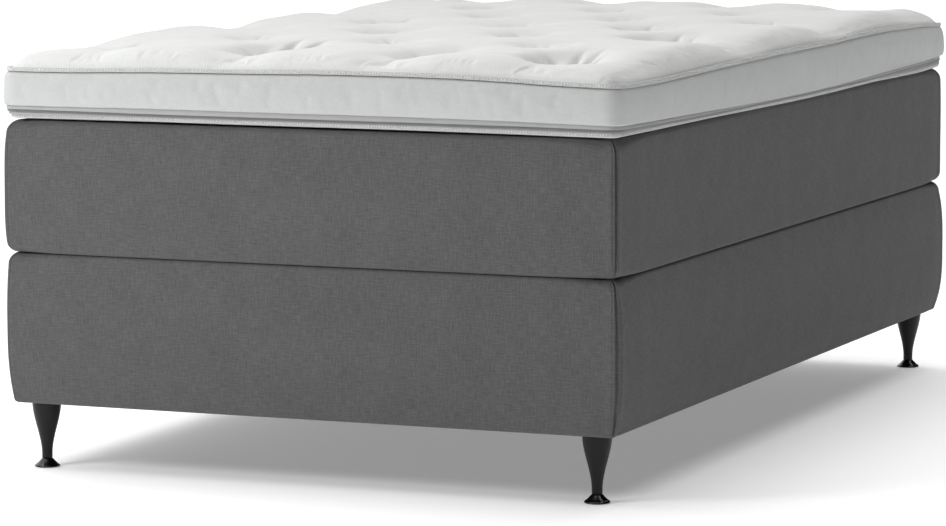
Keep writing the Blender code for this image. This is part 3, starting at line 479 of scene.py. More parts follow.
def make_cover(body, box, shape, seed):
    """A sewn cover with a seam down each corner, which swells a little between them."""
    (corner_bottom, corner_top, side_bottom, side_top, hem, bottom_lean, top_lean, left_swell,
     right_swell, end_swell, crown) = (v * MM for v in shape)
    table, along = plan_columns(COVER_CORNER, COVER_SPACING, NEAR_SEAM)
    from_seam = np.minimum(table[:, 3], table[:, 4])
    relief = seam_relief(from_seam)
    belly_share = 1 - BELLY_LOSS_AT_SEAM * bell(from_seam, BELLY_LOSS_WIDTH)
    at_corner = bell(from_seam, CORNER_ROUND_REACH)
    profile = side_profile(box[0].z, box[1].z - crown,
                           side_bottom + (corner_bottom - side_bottom) * at_corner,
                           side_top + (corner_top - side_top) * at_corner, hem, bottom_lean, top_lean)
    rows, up = [], [0.0]
    for k, (inset, z, slope, belly, on_top) in enumerate(profile):
        flat, outward = plan_ring(table, inset, np.maximum(COVER_CORNER - 0.5 * inset, 5 * MM))
        lean, rise = math.cos(math.radians(slope)), math.sin(math.radians(slope))
        fade = max(0.0, 1 - on_top / GROOVE_REACH) * (1 + min(slope, 0) / 90)
        points = np.column_stack([flat, z])
        dents = fractal(points, PANEL_DENT_SIZE, seed, 2) * PANEL_DENT * lean
        right, left = hands(outward)
        swell = end_swell + (right_swell - end_swell) * right + (left_swell - end_swell) * left
        out = relief * fade + belly * swell * belly_share + dents * belly
        points[:, :2] += outward * (out * lean)[:, None]
        points[:, 2] += out * rise + crown * min(1.0, on_top / CROWN_REACH)
        rows.append(points)
        if k:
            previous = profile[k - 1]
            up.append(up[-1] + math.hypot((inset - previous[0]).mean(), (z - previous[1]).mean()))
    cover = make_rings(body + "_cover_cloth", rows, along, up, body, "grey_weave",
                       replaces=(body + "_cover",), caps="last")
    make_corner_topstitching(body, np.array(rows)[TOPSTITCH_ROWS], outward,
                             np.where(np.abs(from_seam - TOPSTITCH_COLUMN) < 0.05 * MM)[0])


def walk_line(line, pitch):
    """Points every pitch along a line of points, and the line's direction there."""
    steps = np.linalg.norm(np.diff(line, axis=0), axis=1)
    far = np.concatenate([[0], np.cumsum(steps)])
    places = np.arange(pitch / 2, far[-1], pitch)
    points = np.column_stack([np.interp(places, far, line[:, k]) for k in range(3)])
    index = np.clip(np.searchsorted(far, places) - 1, 0, len(steps) - 1)
    return points, (line[index + 1] - line[index]) / np.maximum(steps[index], 1e-9)[:, None]


def facing(runs, across):
    """Unit vectors square to both."""
    normals = np.cross(runs, across)
    return normals / np.linalg.norm(normals, axis=1)[:, None]


def make_stitches(name, places, runs, sides, length, radius, body, slot, finish=None, lift=0.0):
    """Small spindles, one for each stitch, at these places along these runs. sides point out."""
    shares, widths = np.array([(-0.5, 0.35), (-0.25, 0.9), (0.25, 0.9), (0.5, 0.35)]).T
    corners = 6
    turn = np.arange(corners) * math.tau / corners
    round_it = (np.cross(runs, sides)[:, None] * np.cos(turn)[:, None]
                + sides[:, None] * np.sin(turn)[:, None])
    centres = (places + sides * lift)[:, None] + runs[:, None] * (shares * length)[:, None]
    points = centres[:, :, None] + round_it[:, None] * (widths * radius)[:, None, None]
    spindle = corners * len(shares)
    last = spindle - corners
    one = [(ring + c, ring + (c + 1) % corners, ring + (c + 1) % corners + corners, ring + c + corners)
           for ring in range(0, last, corners) for c in range(corners)]
    one += [tuple(reversed(range(corners))), tuple(range(last, spindle))]
    faces = [tuple(v + k * spindle for v in face) for k in range(len(places)) for face in one]
    points = points.reshape(-1, 3)
    corner_points = points[[v for face in faces for v in face]]
    uvs = np.column_stack([corner_points[:, 0] + corner_points[:, 1], corner_points[:, 2]])
    return make_piece(name, points, faces, uvs, body, slot, finish)


def make_corner_topstitching(body, rows, outward, columns):
    """Two rows of topstitching beside each corner seam, from the bottom edge over the top edge."""
    stitches = []
    for column in columns:
        spots, runs = walk_line(rows[:, column], STITCH_PITCH)
        out = np.append(outward[column], 0.0)
        stitches.append((spots, runs, facing(np.cross(runs, out), runs)))
    places, runs, sides = (np.vstack(part) for part in zip(*stitches))
    make_stitches(body + "_corner_topstitching", places, runs, sides, STITCH_LENGTH, THREAD_RADIUS,
                  body, "grey_weave", "grey_thread", lift=STITCH_LIFT)


# Topper: its outline, and the seam line that its tape, its top and its border share

TOPPER_CORNER, RING_SPACING = 26 * MM, 8 * MM
TABLE, ROUND = plan_columns(TOPPER_CORNER, RING_SPACING)
PLACES, SEAM_LENGTH = ROUND[:-1], ROUND[-1]
SEAM_LEVEL = (UPPER_TAPE[0].z + UPPER_TAPE[1].z) / 2
# Wander of the seam and of the lower tape: height, size and seed
SEAM_WANDERS = ((0.8 * MM, 120 * MM, 1), (0.4 * MM, 40 * MM, 2))
LOWER_WANDER = (0.4 * MM, 150 * MM, 8)
TAPE_EASE = 1 * MM
# Heights in mm at even steps along the front, right, rear and left sides
STRAIGHT = (0,) * 6
SEAM_RISES = ((-3, 1.5, 4.5, 6.5, 5.5, -2.5), (-7, -2, 2.5, 4.5, 8.5, 4), (-6, 4, 6, 5, 3, 0),
              (-2, 0, 1, -1, -3, -4))
BORDER_DROOPS = ((-1.5, 0, -0.5, 0, -0.5, -3), (-7, -11, -15, -15, -10, -4), STRAIGHT,
                 (-1.5, -2, -2, -2, -2, -1.5))
ZIP_DROOPS = ((-3, -4, -4, -4, -4, -5), (-8.5, -11, -12, -12, -10, -4), STRAIGHT,
              (-3, -4, -4, -4, -4, -3))
LOWER_DROOPS = ((-1.2, 0, -0.3, 0, -0.4, -1.8), (-3, -3.3, -5.8, -6.5, -4, -5.5), STRAIGHT,
                (-2, -2.4, -2, -2.6, -2, -2))
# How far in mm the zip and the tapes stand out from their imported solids
ZIP_STANDS = ((7.5, 8.5, 8.5, 8.5, 8.5, 9), (9, 11, 11.5, 11.5, 11.5, 12), STRAIGHT,
              (4, 7, 7.5, 7.5, 7.5, 7))
UPPER_STANDS = (STRAIGHT, (1.5, 1.5, 1.5, 1.5, 1.5, 0.5), STRAIGHT, STRAIGHT)
LOWER_STANDS = ((-2, 0, 0, 0, 0, 0.5), (2, 5, 5, 5, 5, 3), STRAIGHT, (-2, -5, -5, -5, -5, -4))


def rises(sides, places=PLACES):
    """Smooth heights in metres at metres round the seam, through the values given for its sides."""
    heights = np.concatenate(sides) * MM
    halves = np.repeat([HALF_X, HALF_Y, HALF_X, HALF_Y], len(STRAIGHT))
    lengths = halves / halves.sum()
    middles = np.cumsum(lengths) - lengths / 2
    share = (places / SEAM_LENGTH) % 1.0
    k, n = np.searchsorted(middles, share) - 1, len(heights)
    left = np.where(k < 0, middles[-1] - 1, middles[k])
    right = np.where(k + 1 >= n, middles[0] + 1, middles[(k + 1) % n])
    t = (share - left) / (right - left)
    p0, p1, p2, p3 = (heights[(k + j) % n] for j in (-1, 0, 1, 2))
    return 0.5 * (2 * p1 + (p2 - p0) * t + (2 * p0 - 5 * p1 + 4 * p2 - p3) * t ** 2
                  + (3 * p1 - p0 - 3 * p2 + p3) * t ** 3)


def wander(height, size, seed, places=PLACES):
    """Noise along the seam, up to this height, that meets itself round the outline."""
    radius = SEAM_LENGTH / math.tau / size
    return height * np.array([
        noise.noise(Vector((math.cos(a) * radius, math.sin(a) * radius, seed * 3.7)))
        for a in places / SEAM_LENGTH * math.tau])


def seam_level(places=PLACES):
    return SEAM_LEVEL + rises(SEAM_RISES, places) + sum(wander(*row, places) for row in SEAM_WANDERS)


def topper_outline(inset=0.0, stand=0.0):
    """Points and normals of the topper's outline, drawn in by the inset and out by the stand."""
    flat, outward = plan_ring(TABLE, inset, max(TOPPER_CORNER - inset, 5 * MM))
    return flat + outward * np.broadcast_to(stand, len(flat))[:, None], outward


# Topper: border, tapes, zip and underside

# Share down the border, how far it stands out from the plan outline and how far it does on the
# right side, mm, and how much of the zip's own stand it takes up
BORDER_SHAPE = (
    (0.0, -6.5, 0.2, 0), (0.045, -5.0, 0.2, 0), (0.065, -0.5, 1.4, 0), (0.09, 3.2, 3.2, 0),
    (0.13, 6.0, 5.2, 0), (0.19, 8.4, 7.4, 0), (0.28, 10.4, 9.8, 0), (0.38, 11.6, 11.4, 0),
    (0.50, 12.0, 12, 0), (0.61, 12.0, 12, 0), (0.72, 11.6, 11.6, 0), (0.82, 10.6, 10.6, 0),
    (0.90, 8.8, 9, 0.1), (0.955, 6.2, 6.6, 0.25), (0.985, 2.6, 3.4, 0.6), (1.0, -4.0, -2.5, 0.85))
BORDER_DEPTH, BORDER_SPARE, BORDER_HOLD, LEAST_HOLD = 75 * MM, 0.012, 1.3, 0.08
UNDER_TAPE, OVER_ZIP = 0.5 * MM, 0.2 * MM
# Dents of the border: depth, size, seed and octaves; puckers under the tape: depth, size and seed
BORDER_DENTS = ((1.5 * MM, 110 * MM, 4, 2), (0.5 * MM, 45 * MM, 5, 1))
PUCKERS, PUCKER_FADE = (0.35 * MM, 12 * MM, 6), 9
CORNER_LOSS, CORNER_LOSS_REACH, LEFT_LOSS = 3 * MM, 90 * MM, 2 * MM
# Points of the folded tape, (outward, up) in mm
TAPE_PROFILE = ((-4.5, -2.6), (-1.5, -3.4), (0.3, -3.2), (1.0, -2.2), (1.0, -0.9), (0.45, -0.1),
                (0.45, 0.9), (1.0, 1.6), (0.8, 2.7), (-0.3, 3.4), (-2.5, 3.5), (-4.5, 2.6))
TAPE_STITCH_PITCH, TAPE_STITCH_LENGTH, TAPE_THREAD_RADIUS = 5.4 * MM, 4.4 * MM, 1.0 * MM
TAPE_STITCH_OUT, TAPE_STITCH_UP, STITCH_SCATTER = 0.6 * MM, 0.5 * MM, 0.35 * MM
STITCH_SLANTS, STITCH_RISE = (0.1, 0.8), (0, 0, 0.94)
UPPER_THICKER, LOWER_THICKER = 1.15, 1.2
COIL_PITCH, COIL_RADIUS, COIL_OVER = 2.0 * MM, 0.9 * MM, 1 * MM
# Share of the zip's stand that a piece of it takes, and what more it takes on the right
LOWER_BAND_STAND, COIL_STAND = (0.45, 0.3), (0.75, 0.15)
# How far each band runs on under its neighbours, downwards and upwards
UPPER_BAND_OVERLAPS, LOWER_BAND_OVERLAPS = (0.4 * MM, 1 * MM), (2 * MM, 1.5 * MM)
# Inset in mm, level over the underside in mm and share of the tape's droop: the cloth rolls down a
# little below the tape, where the mattress curves away under it
UNDERSIDE_EDGE = ((7, 3, 1), (6.5, 1, 1), (7.5, -0.4, 1), (10, -1.4, 0.9), (14, -2, 0.7),
                  (22, -1.6, 0.3), (36, 0, 0), (60, 0, 0), (130, 0, 0), (230, 0, 0), (360, 0, 0),
                  (500, 0, 0))
ROLL_LIMIT = 5.2 * MM


def make_border():
    """Padded border between the upper tape and the zip, pulled in at both and clouded with dents.
    With it come its hold and its spare cloth for settle."""
    top = seam_level() - UNDER_TAPE
    bottom = ZIP_UPPER[1].z + OVER_ZIP + rises(BORDER_DROOPS)
    stand_of_zip = rises(ZIP_STANDS)
    flat, outward = topper_outline()
    right, left = hands(outward)
    loss = CORNER_LOSS * bell(np.minimum(TABLE[:, 3], TABLE[:, 4]), CORNER_LOSS_REACH) + LEFT_LOSS * left
    puckers = wander(*PUCKERS)
    rows = []
    for share, out, right_out, zip_share in BORDER_SHAPE:
        points = np.column_stack([flat, top + (bottom - top) * share])
        swell = math.sin(math.pi * share)
        dents = sum(depth * fractal(points, *kind) for depth, *kind in BORDER_DENTS)
        stand = (out + (right_out - out) * right) * MM + dents * swell + zip_share * stand_of_zip
        stand += puckers * math.exp(-share * PUCKER_FADE) * (out > 0) - swell * loss
        points[:, :2] += outward * stand[:, None]
        rows.append(points)
    shares = np.array([row[0] for row in reversed(BORDER_SHAPE)])
    # Its finish is the top's white knit painted darker, as painted shade of the upright border
    border = make_rings("topper_border", rows[::-1], ROUND, -shares * BORDER_DEPTH, "topper",
                        "white_knit", "border_knit_painted_shade", ("topper_cover",))
    held = np.clip(1 - np.sin(math.pi * shares) * BORDER_HOLD, LEAST_HOLD, 1)
    return border, np.repeat(held, len(TABLE)), BORDER_SPARE


def make_tape(name, node, box, level, stand, thicker):
    """Folded tape sewn over the cut edges, with its row of stitches in the groove between folds."""
    flat, outward = topper_outline(HALF_X - box[1].x + TAPE_EASE, stand)
    profile = [(out, rise * thicker) for out, rise in TAPE_PROFILE]
    profile.append(profile[0])
    rows = [np.column_stack([flat + outward * out * MM, level + rise * MM]) for out, rise in profile]
    steps = [math.hypot(b[0] - a[0], b[1] - a[1]) for a, b in zip(profile, profile[1:])]
    make_rings(name, rows, ROUND, np.concatenate([[0], np.cumsum(steps)]) * MM, "topper", "white_tape",
               replaces=(node,))
    line = np.column_stack([flat + outward * TAPE_STITCH_OUT, level + TAPE_STITCH_UP])
    spots, runs = walk_line(np.vstack([line, line[:1]]), TAPE_STITCH_PITCH)
    rng = np.random.default_rng(len(name))
    slanted = runs * rng.uniform(*STITCH_SLANTS, (len(runs), 1)) + STITCH_RISE
    make_stitches(name + "_stitching", spots + rng.normal(0, STITCH_SCATTER, spots.shape), slanted,
                  facing(runs, (0, 0, 1.0)), TAPE_STITCH_LENGTH, TAPE_THREAD_RADIUS, "topper",
                  "white_tape", "white_thread")


def make_tapes():
    make_tape("topper_upper_tape", "topper_tape_edge_upper", UPPER_TAPE, seam_level(),
              rises(UPPER_STANDS), UPPER_THICKER)
    lower = (LOWER_TAPE[0].z + LOWER_TAPE[1].z) / 2 + rises(LOWER_DROOPS) + wander(*LOWER_WANDER)
    make_tape("topper_lower_tape", "topper_tape_edge_lower", LOWER_TAPE, lower, rises(LOWER_STANDS),
              LOWER_THICKER)


def make_band(node, box, overlaps, below, above, stand):
    """Flat woven band of the zip, whose edges hang as the cloth below and above it does."""
    low, high = box[0].z - overlaps[0] + below, box[1].z + overlaps[1] + above
    front, outward = topper_outline(HALF_X - box[1].x, stand)
    back = front - outward * MM
    rows = [np.column_stack(pair) for pair in ((front, low), (front, high), (back, high), (back, low),
                                               (front, low))]
    make_rings(node + "_woven", rows, ROUND, [0, 0.005, 0.006, 0.011, 0.012], "topper", "zip_tape",
               replaces=(node,))


def make_zip():
    """Two woven tapes with a nylon coil between them, whose upper tape covers most of it."""
    right, _ = hands(topper_outline()[1])
    above, middle, below, stand = (rises(sides) for sides in (BORDER_DROOPS, ZIP_DROOPS, LOWER_DROOPS,
                                                              ZIP_STANDS))
    lower_stand, coil_stand = ((least + more * right) * stand
                               for least, more in (LOWER_BAND_STAND, COIL_STAND))
    make_band("topper_zip_tape_upper", ZIP_UPPER, UPPER_BAND_OVERLAPS, middle, above, stand)
    make_band("topper_zip_tape_lower", ZIP_LOWER, LOWER_BAND_OVERLAPS, below, middle, lower_stand)
    # Spiral coil: one small spindle across the chain for each of its turns, in a grey painted darker as
    # shade of its recess
    flat, _ = topper_outline(HALF_X - ZIP_CHAIN[1].x + COIL_RADIUS, coil_stand)
    line = np.column_stack([flat, (ZIP_CHAIN[0].z + ZIP_CHAIN[1].z) / 2 + middle])
    spots, runs = walk_line(np.vstack([line, line[:1]]), COIL_PITCH)
    coil = make_stitches("topper_zip_coil_turns", spots, np.tile([0, 0, 1.0], (len(spots), 1)),
                         facing(runs, (0, 0, 1.0)), ZIP_CHAIN[1].z - ZIP_CHAIN[0].z + COIL_OVER,
                         COIL_RADIUS, "topper", "zip_coil")
    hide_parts("topper_zip_chain")


def make_underside():
    """Quilted cloth under the topper, with a turned-up edge behind the lower tape."""
    low, high = UNDERSIDE[0].z, UNDERSIDE[1].z
    droop, stand = rises(LOWER_DROOPS), rises(LOWER_STANDS)
    rows, up = [], []
    for inset, rise, share in ((8, (high - low) / MM, 0), *UNDERSIDE_EDGE):
        level = low + rise * MM + share * droop
        if rise < 0:
            level = np.maximum(level, MATTRESS[1].z - ROLL_LIMIT)
        rows.append(np.column_stack([topper_outline(inset * MM, share * stand)[0], level]))
        up.append(inset * MM)
    piece = make_rings("topper_underside_quilt", rows[::-1], ROUND, up[::-1], "topper", "white_knit",
                       replaces=("topper_underside",), caps="first")


# Topper: tufted top

TUFT_X, TUFT_Y = HALF_X - 165 * MM, HALF_Y - 151 * MM
PITCH_X, PITCH_Y = 2 * TUFT_X / 3, 2 * TUFT_Y / 3
# Each tuft's pull, and how far it sits to the right of its place in mm, row by row from the foot end
TUFT_ROWS = (((0.45, 18), (1.45, 18), (1.5, 44), (1.5, 2)), ((0.3, 0), (0.4, -8), (0.3, 0)),
             ((0.45, 12), (0.7, 16), (0.5, -8), (1.35, -6)), ((0.6, 22), (0.45, 25), (0.65, 0)),
             ((0.45, 0), (0.45, 5), (0.4, -10), (0.45, 0)), ((0.5, 0), (0.4, 0), (0.45, 0)),
             ((0.5, 0), (0.45, 0), (0.45, 0), (0.5, 0)))
TUFT_SEED = 5
BOWL, BOWL_RADIUS, FAR_STRETCH = 17 * MM, 50 * MM, 1.3
DIMPLE, DIMPLE_RADIUS = 8 * MM, 13 * MM
PLEAT_DEPTH, PLEAT_NEAR, PLEAT_FAR, PLEAT_WIDTH = 16 * MM, 16 * MM, 60 * MM, 3.2 * MM
# Broad valleys between the tufts, and the puffed edge: how far in it rises and how squarely
BROAD_PIT, BROAD_SHARPNESS, VALLEY_GAIN = 9.5 * MM, 2.3, 0.8
PUFF_RUN, PUFF_POWER = 66 * MM, 0.5
VALLEY_RUN, VALLEY_POWER = 72 * MM, 0.55
LEFT_VALLEYS = [v * MM for v in (-780, -80, 385, 850)]
LEFT_VALLEY_DRIFTS = [v * MM for v in (70, 200, 100, 0)]
# Heights in mm added to the top beside the left edge, from foot to head, and beside the rear edge
LEFT_TOPS = ((-1, -0.87, -0.7, -0.5, -0.3, -0.05, 0.08, 0.28, 0.48, 0.7, 0.9),
             (3.5, 0, -5, -0.5, 3.5, -4, -4.5, 2, -3, 2.5, 3))
REAR_TOPS = ((-0.5, -0.38, -0.25, -0.15, -0.02, 0.13, 0.3, 0.38, 0.46, 0.54, 0.6),
             (3.5, -5, -3, 2, -6, -1, -4, -9, -1, 4.5, -1))
LEFT_TOPS_FROM, LEFT_TOPS_RUN = -0.35, 0.15
REAR_TOPS_FROM, REAR_TOPS_RUN = 0.6, 0.25
PANEL_INSET, PANEL_OVER_SEAM, PANEL_UNDER_BOX = 1.5 * MM, 1.6 * MM, 1 * MM
PANEL_SPARE, PANEL_HOLD, SEAM_HOLD, TIE_HOLD = 0.03, 0.03, 14 * MM, 16 * MM
# Slow waves of the top: height, their size, seed and octaves, and the rise over which they start
PANEL_WAVE, PANEL_WAVE_KIND, PANEL_WAVE_RUN = 1.2 * MM, (160 * MM, 9, 2), 20 * MM
PANEL_SPACING_FINE_X, PANEL_SPACING_FINE_Y, PANEL_SPACING = 3.2 * MM, 4.5 * MM, 13 * MM
PANEL_FINE_REACH, PANEL_FAR_REACH = 38 * MM, 60 * MM
SETTLE_FRAMES, SETTLE_PRESSURE, SETTLE_CAP = 20, 4.0, 3 * MM
HOLD_STEPS = 20


def tuft_places():
    """Tufts in a quincunx, rows of four and three in turn: their places and pulls."""
    return [(-TUFT_X + (k + (4 - len(tufts)) / 2) * PITCH_X + shift * MM, -TUFT_Y + row * PITCH_Y / 2, pull)
            for row, tufts in enumerate(TUFT_ROWS) for k, (pull, shift) in enumerate(tufts)]


def tuft_pit(dx, dy, pull, rng):
    """Depth of one tuft: a bowl, the dimple at its tie, and the pleats that run out from it. A hard
    pull drags more cloth from the head end."""
    dy = np.where(dy > 0, dy / (1 + FAR_STRETCH * max(0.0, pull - 0.2)), dy)
    far, angle = np.hypot(dx, dy), np.arctan2(dy, dx)
    pit = (BOWL * np.exp(-(far / BOWL_RADIUS) ** 2.6)
           + DIMPLE * np.exp(-(far / DIMPLE_RADIUS) ** 1.3))
    count = rng.integers(9, 12)
    start = rng.uniform(0, math.tau)
    for k in range(count):
        toward = start + math.tau * (k + rng.uniform(-0.3, 0.3)) / count
        depth, reach, bend = PLEAT_DEPTH * rng.uniform(0.4, 1.2), rng.uniform(0.6, 1.1), rng.uniform(-4, 4)
        turn = (angle - toward - bend * far + math.pi) % math.tau - math.pi
        fade = np.clip(far / PLEAT_NEAR, 0, 1) * np.exp(-(far / (PLEAT_FAR * reach)) ** 4)
        across = np.abs(turn) * far / (PLEAT_WIDTH + 0.05 * far)
        pit = pit + depth * fade * np.exp(-across ** 1.6)
    return pit


def top_height(x, y, edge_level, half_x, half_y):
    """Height of the tufted top at plan points, above which the seam's own rise fades inwards."""
    left = np.clip((-TUFT_X - x) / (half_x - TUFT_X), 0, 1)
    drifted = y - left * np.interp(y, LEFT_VALLEYS, LEFT_VALLEY_DRIFTS)
    cx, cy = np.clip(x, -TUFT_X, TUFT_X), np.clip(drifted, -TUFT_Y, TUFT_Y)
    wave = np.cos(math.tau * (cx - TUFT_X) / PITCH_X) * np.cos(math.tau * (cy - TUFT_Y) / PITCH_Y)
    valley = (1 + wave) / 2
    run = PUFF_RUN + (VALLEY_RUN - PUFF_RUN) * valley
    power = PUFF_POWER + (VALLEY_POWER - PUFF_POWER) * valley
    a = 1 - np.clip((half_x - np.abs(x)) / run, 0, 1)
    b = 1 - np.clip((half_y - np.abs(y)) / run, 0, 1)
    reach = np.clip((a ** 3 + b ** 3) ** (1 / 3), 0, 1)
    rise = (1 - reach ** 2) ** power
    past = np.maximum(np.abs(x) - TUFT_X, np.abs(y) - TUFT_Y) / (half_x - TUFT_X)
    pit = BROAD_PIT * valley ** BROAD_SHARPNESS * (1 + VALLEY_GAIN * np.clip(past, 0, 1))
    rng = np.random.default_rng(TUFT_SEED)
    for tx, ty, pull in tuft_places():
        near = np.hypot(x - tx, y - ty) < 4 * PLEAT_FAR
        pit[near] += pull * tuft_pit(x[near] - tx, y[near] - ty, pull, rng)
    at_left = np.clip((LEFT_TOPS_FROM - x) / LEFT_TOPS_RUN, 0, 1)
    at_rear = np.clip((y - REAR_TOPS_FROM) / REAR_TOPS_RUN, 0, 1)
    pit -= MM * (at_left * (1 - at_rear) * np.interp(y, *LEFT_TOPS) + at_rear * np.interp(x, *REAR_TOPS))
    crown = TOPPER[1].z - SEAM_LEVEL - PANEL_UNDER_BOX
    return edge_level + rise * (crown - pit) + (SEAM_LEVEL - edge_level) * rise


def panel_lines(half, tufts, fine, past=0.0):
    """Grid lines from edge to edge, close together beside the tufts, for this far past them, and
    beside the edges."""
    raster = np.linspace(-half, half, 4001)
    ahead = raster[:, None] - np.array(tufts)
    gap = np.minimum(np.where(ahead > 0, np.maximum(0, ahead - past), -ahead).min(1), half - np.abs(raster))
    spacing = np.where(gap[1:] < PANEL_FINE_REACH, fine, PANEL_SPACING)
    count = np.concatenate([[0], np.cumsum(np.diff(raster) / spacing)])
    return np.interp(np.linspace(0, count[-1], round(count[-1]) + 1), count, raster)


def panel_edge_level(x, y):
    """The seam's level next to each plan point, shared between the sides near a corner."""
    arc = TOPPER_CORNER * math.pi / 4
    reach_x, reach_y = HALF_X - TOPPER_CORNER + arc, HALF_Y - TOPPER_CORNER + arc
    places = (reach_x + x, 2 * reach_x + reach_y + y, 3 * reach_x + 2 * reach_y - x,
              4 * reach_x + 3 * reach_y - y)
    gaps = (HALF_Y + y, HALF_X - x, HALF_Y - y, HALF_X + x)
    weights = [1 / np.maximum(g, 2 * MM) ** 2 for g in gaps]
    levels = [seam_level(p.ravel()).reshape(p.shape) * w for p, w in zip(places, weights)]
    return sum(levels) / sum(weights)


def corner_rounded(x, y, half_x, half_y, corner):
    """Moves a rectangle's points so that its corners become quarter circles."""
    u = np.clip((np.abs(x) - (half_x - corner)) / corner, 0, 1)
    v = np.clip((np.abs(y) - (half_y - corner)) / corner, 0, 1)
    inside = (u > 0) & (v > 0)
    nx = np.where(inside, half_x - corner + corner * u * np.sqrt(1 - v ** 2 / 2), np.abs(x))
    ny = np.where(inside, half_y - corner + corner * v * np.sqrt(1 - u ** 2 / 2), np.abs(y))
    return np.copysign(nx, x), np.copysign(ny, y)


def make_top_panel():
    """Tufted top, one surface from seam to seam. With it come its hold and its spare cloth for
    settle."""
    half_x, half_y = HALF_X - PANEL_INSET, HALF_Y - PANEL_INSET
    xs = panel_lines(half_x, [-TUFT_X + k * PITCH_X / 2 for k in range(7)], PANEL_SPACING_FINE_X)
    ys = panel_lines(half_y, [-TUFT_Y + k * PITCH_Y / 2 for k in range(7)], PANEL_SPACING_FINE_Y,
                     PANEL_FAR_REACH)
    x, y = np.meshgrid(xs, ys, indexing="ij")
    px, py = corner_rounded(x, y, half_x, half_y, TOPPER_CORNER - PANEL_INSET)
    z = top_height(x, y, panel_edge_level(x, y) + PANEL_OVER_SEAM, half_x, half_y)
    points = np.stack([px, py, z], -1).reshape(-1, 3)
    points[:, 2] += PANEL_WAVE * fractal(points, *PANEL_WAVE_KIND) * np.clip(
        (points[:, 2] - SEAM_LEVEL) / PANEL_WAVE_RUN, 0, 1)
    faces = grid_faces(len(xs), len(ys))
    panel = make_piece("topper_tufted_top", points, faces, points[faces.ravel()][:, :2], "topper",
                       "white_knit", replaces=("topper_cover",))
    edge = np.minimum(half_x - np.abs(x), half_y - np.abs(y))
    tie = np.min([np.hypot(x - tx, y - ty) / pull for tx, ty, pull in tuft_places()], axis=0)
    held = PANEL_HOLD + np.maximum(bell(edge, SEAM_HOLD), bell(tie, TIE_HOLD))
    return panel, np.clip(held, 0, 1).ravel(), PANEL_SPARE


def settle(cloths):
    """Lets each cloth puff and crease for a moment between the places that hold it, and keeps that
    shape. Each comes with its hold from 0 to 1 and the share by which it is cut too large."""
    scene = bpy.context.scene
    for piece, held, spare in cloths:
        group = piece.vertex_groups.new(name="held")
        steps = np.round(held * HOLD_STEPS).astype(int)
        for step in range(HOLD_STEPS + 1):
            group.add([int(v) for v in np.where(steps == step)[0]], step / HOLD_STEPS, "REPLACE")
        settings = piece.modifiers.new("cloth", "CLOTH").settings
        settings.quality, settings.mass = 5, 0.3
        settings.tension_stiffness = settings.compression_stiffness = 15
        settings.bending_stiffness = 0.6
        settings.vertex_group_mass = "held"
        settings.use_pressure, settings.uniform_pressure_force = True, SETTLE_PRESSURE
        settings.shrink_min = -spare
        settings.effector_weights.gravity = 0
        piece.modifiers["cloth"].point_cache.frame_end = SETTLE_FRAMES
    for frame_number in range(1, SETTLE_FRAMES + 1):
        scene.frame_set(frame_number)
    depsgraph = bpy.context.evaluated_depsgraph_get()
    for piece, held, spare in cloths:
        start, end = (np.empty(3 * len(piece.data.vertices)) for k in range(2))
        piece.data.vertices.foreach_get("co", start)
        piece.evaluated_get(depsgraph).data.vertices.foreach_get("co", end)
        move = (end - start).reshape(-1, 3)
        far = np.linalg.norm(move, axis=1, keepdims=True)
        move *= SETTLE_CAP * np.tanh(far / SETTLE_CAP) / np.maximum(far, 1e-9)
        piece.modifiers.clear()
        piece.data.vertices.foreach_set("co", start + move.ravel())
        piece.data.update()
    scene.frame_set(1)


def make_topper():
    cloths = [make_border(), make_top_panel()]
    settle(cloths)
    border = cloths[0][0]
    border.modifiers.new("smooth", "SUBSURF").levels = 1
    apply_modifiers(border)
    make_tapes()
    make_zip()
    make_underside()


# Turned legs and their feet

LEG_NECK, LEG_EASE, LEG_STEPS = 9.8 * MM, 1.2 * MM, 28
AXIS_GAP = 0.3 * MM
FOOT_DOME, FOOT_TOP, FOOT_STEPS = 4.6 * MM, 15.5 * MM, 8
DOME_INSET = 2.5 * MM
TURNING_SIDES = 64


def make_turning(name, node, profile, slot):
    """A round piece from (radius, level) points, over the middle of its node."""
    low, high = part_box(node)
    turn = np.arange(TURNING_SIDES) * math.tau / TURNING_SIDES
    circle = np.column_stack([np.cos(turn), np.sin(turn)])
    centre = np.array([(low.x + high.x) / 2, (low.y + high.y) / 2])
    rows = [np.column_stack([centre + circle * radius, np.full(len(turn), z)]) for radius, z in profile]
    make_rings(name, rows, np.linspace(0, 0.1, TURNING_SIDES + 1), [z for _, z in profile], "base",
               slot, replaces=(node,))


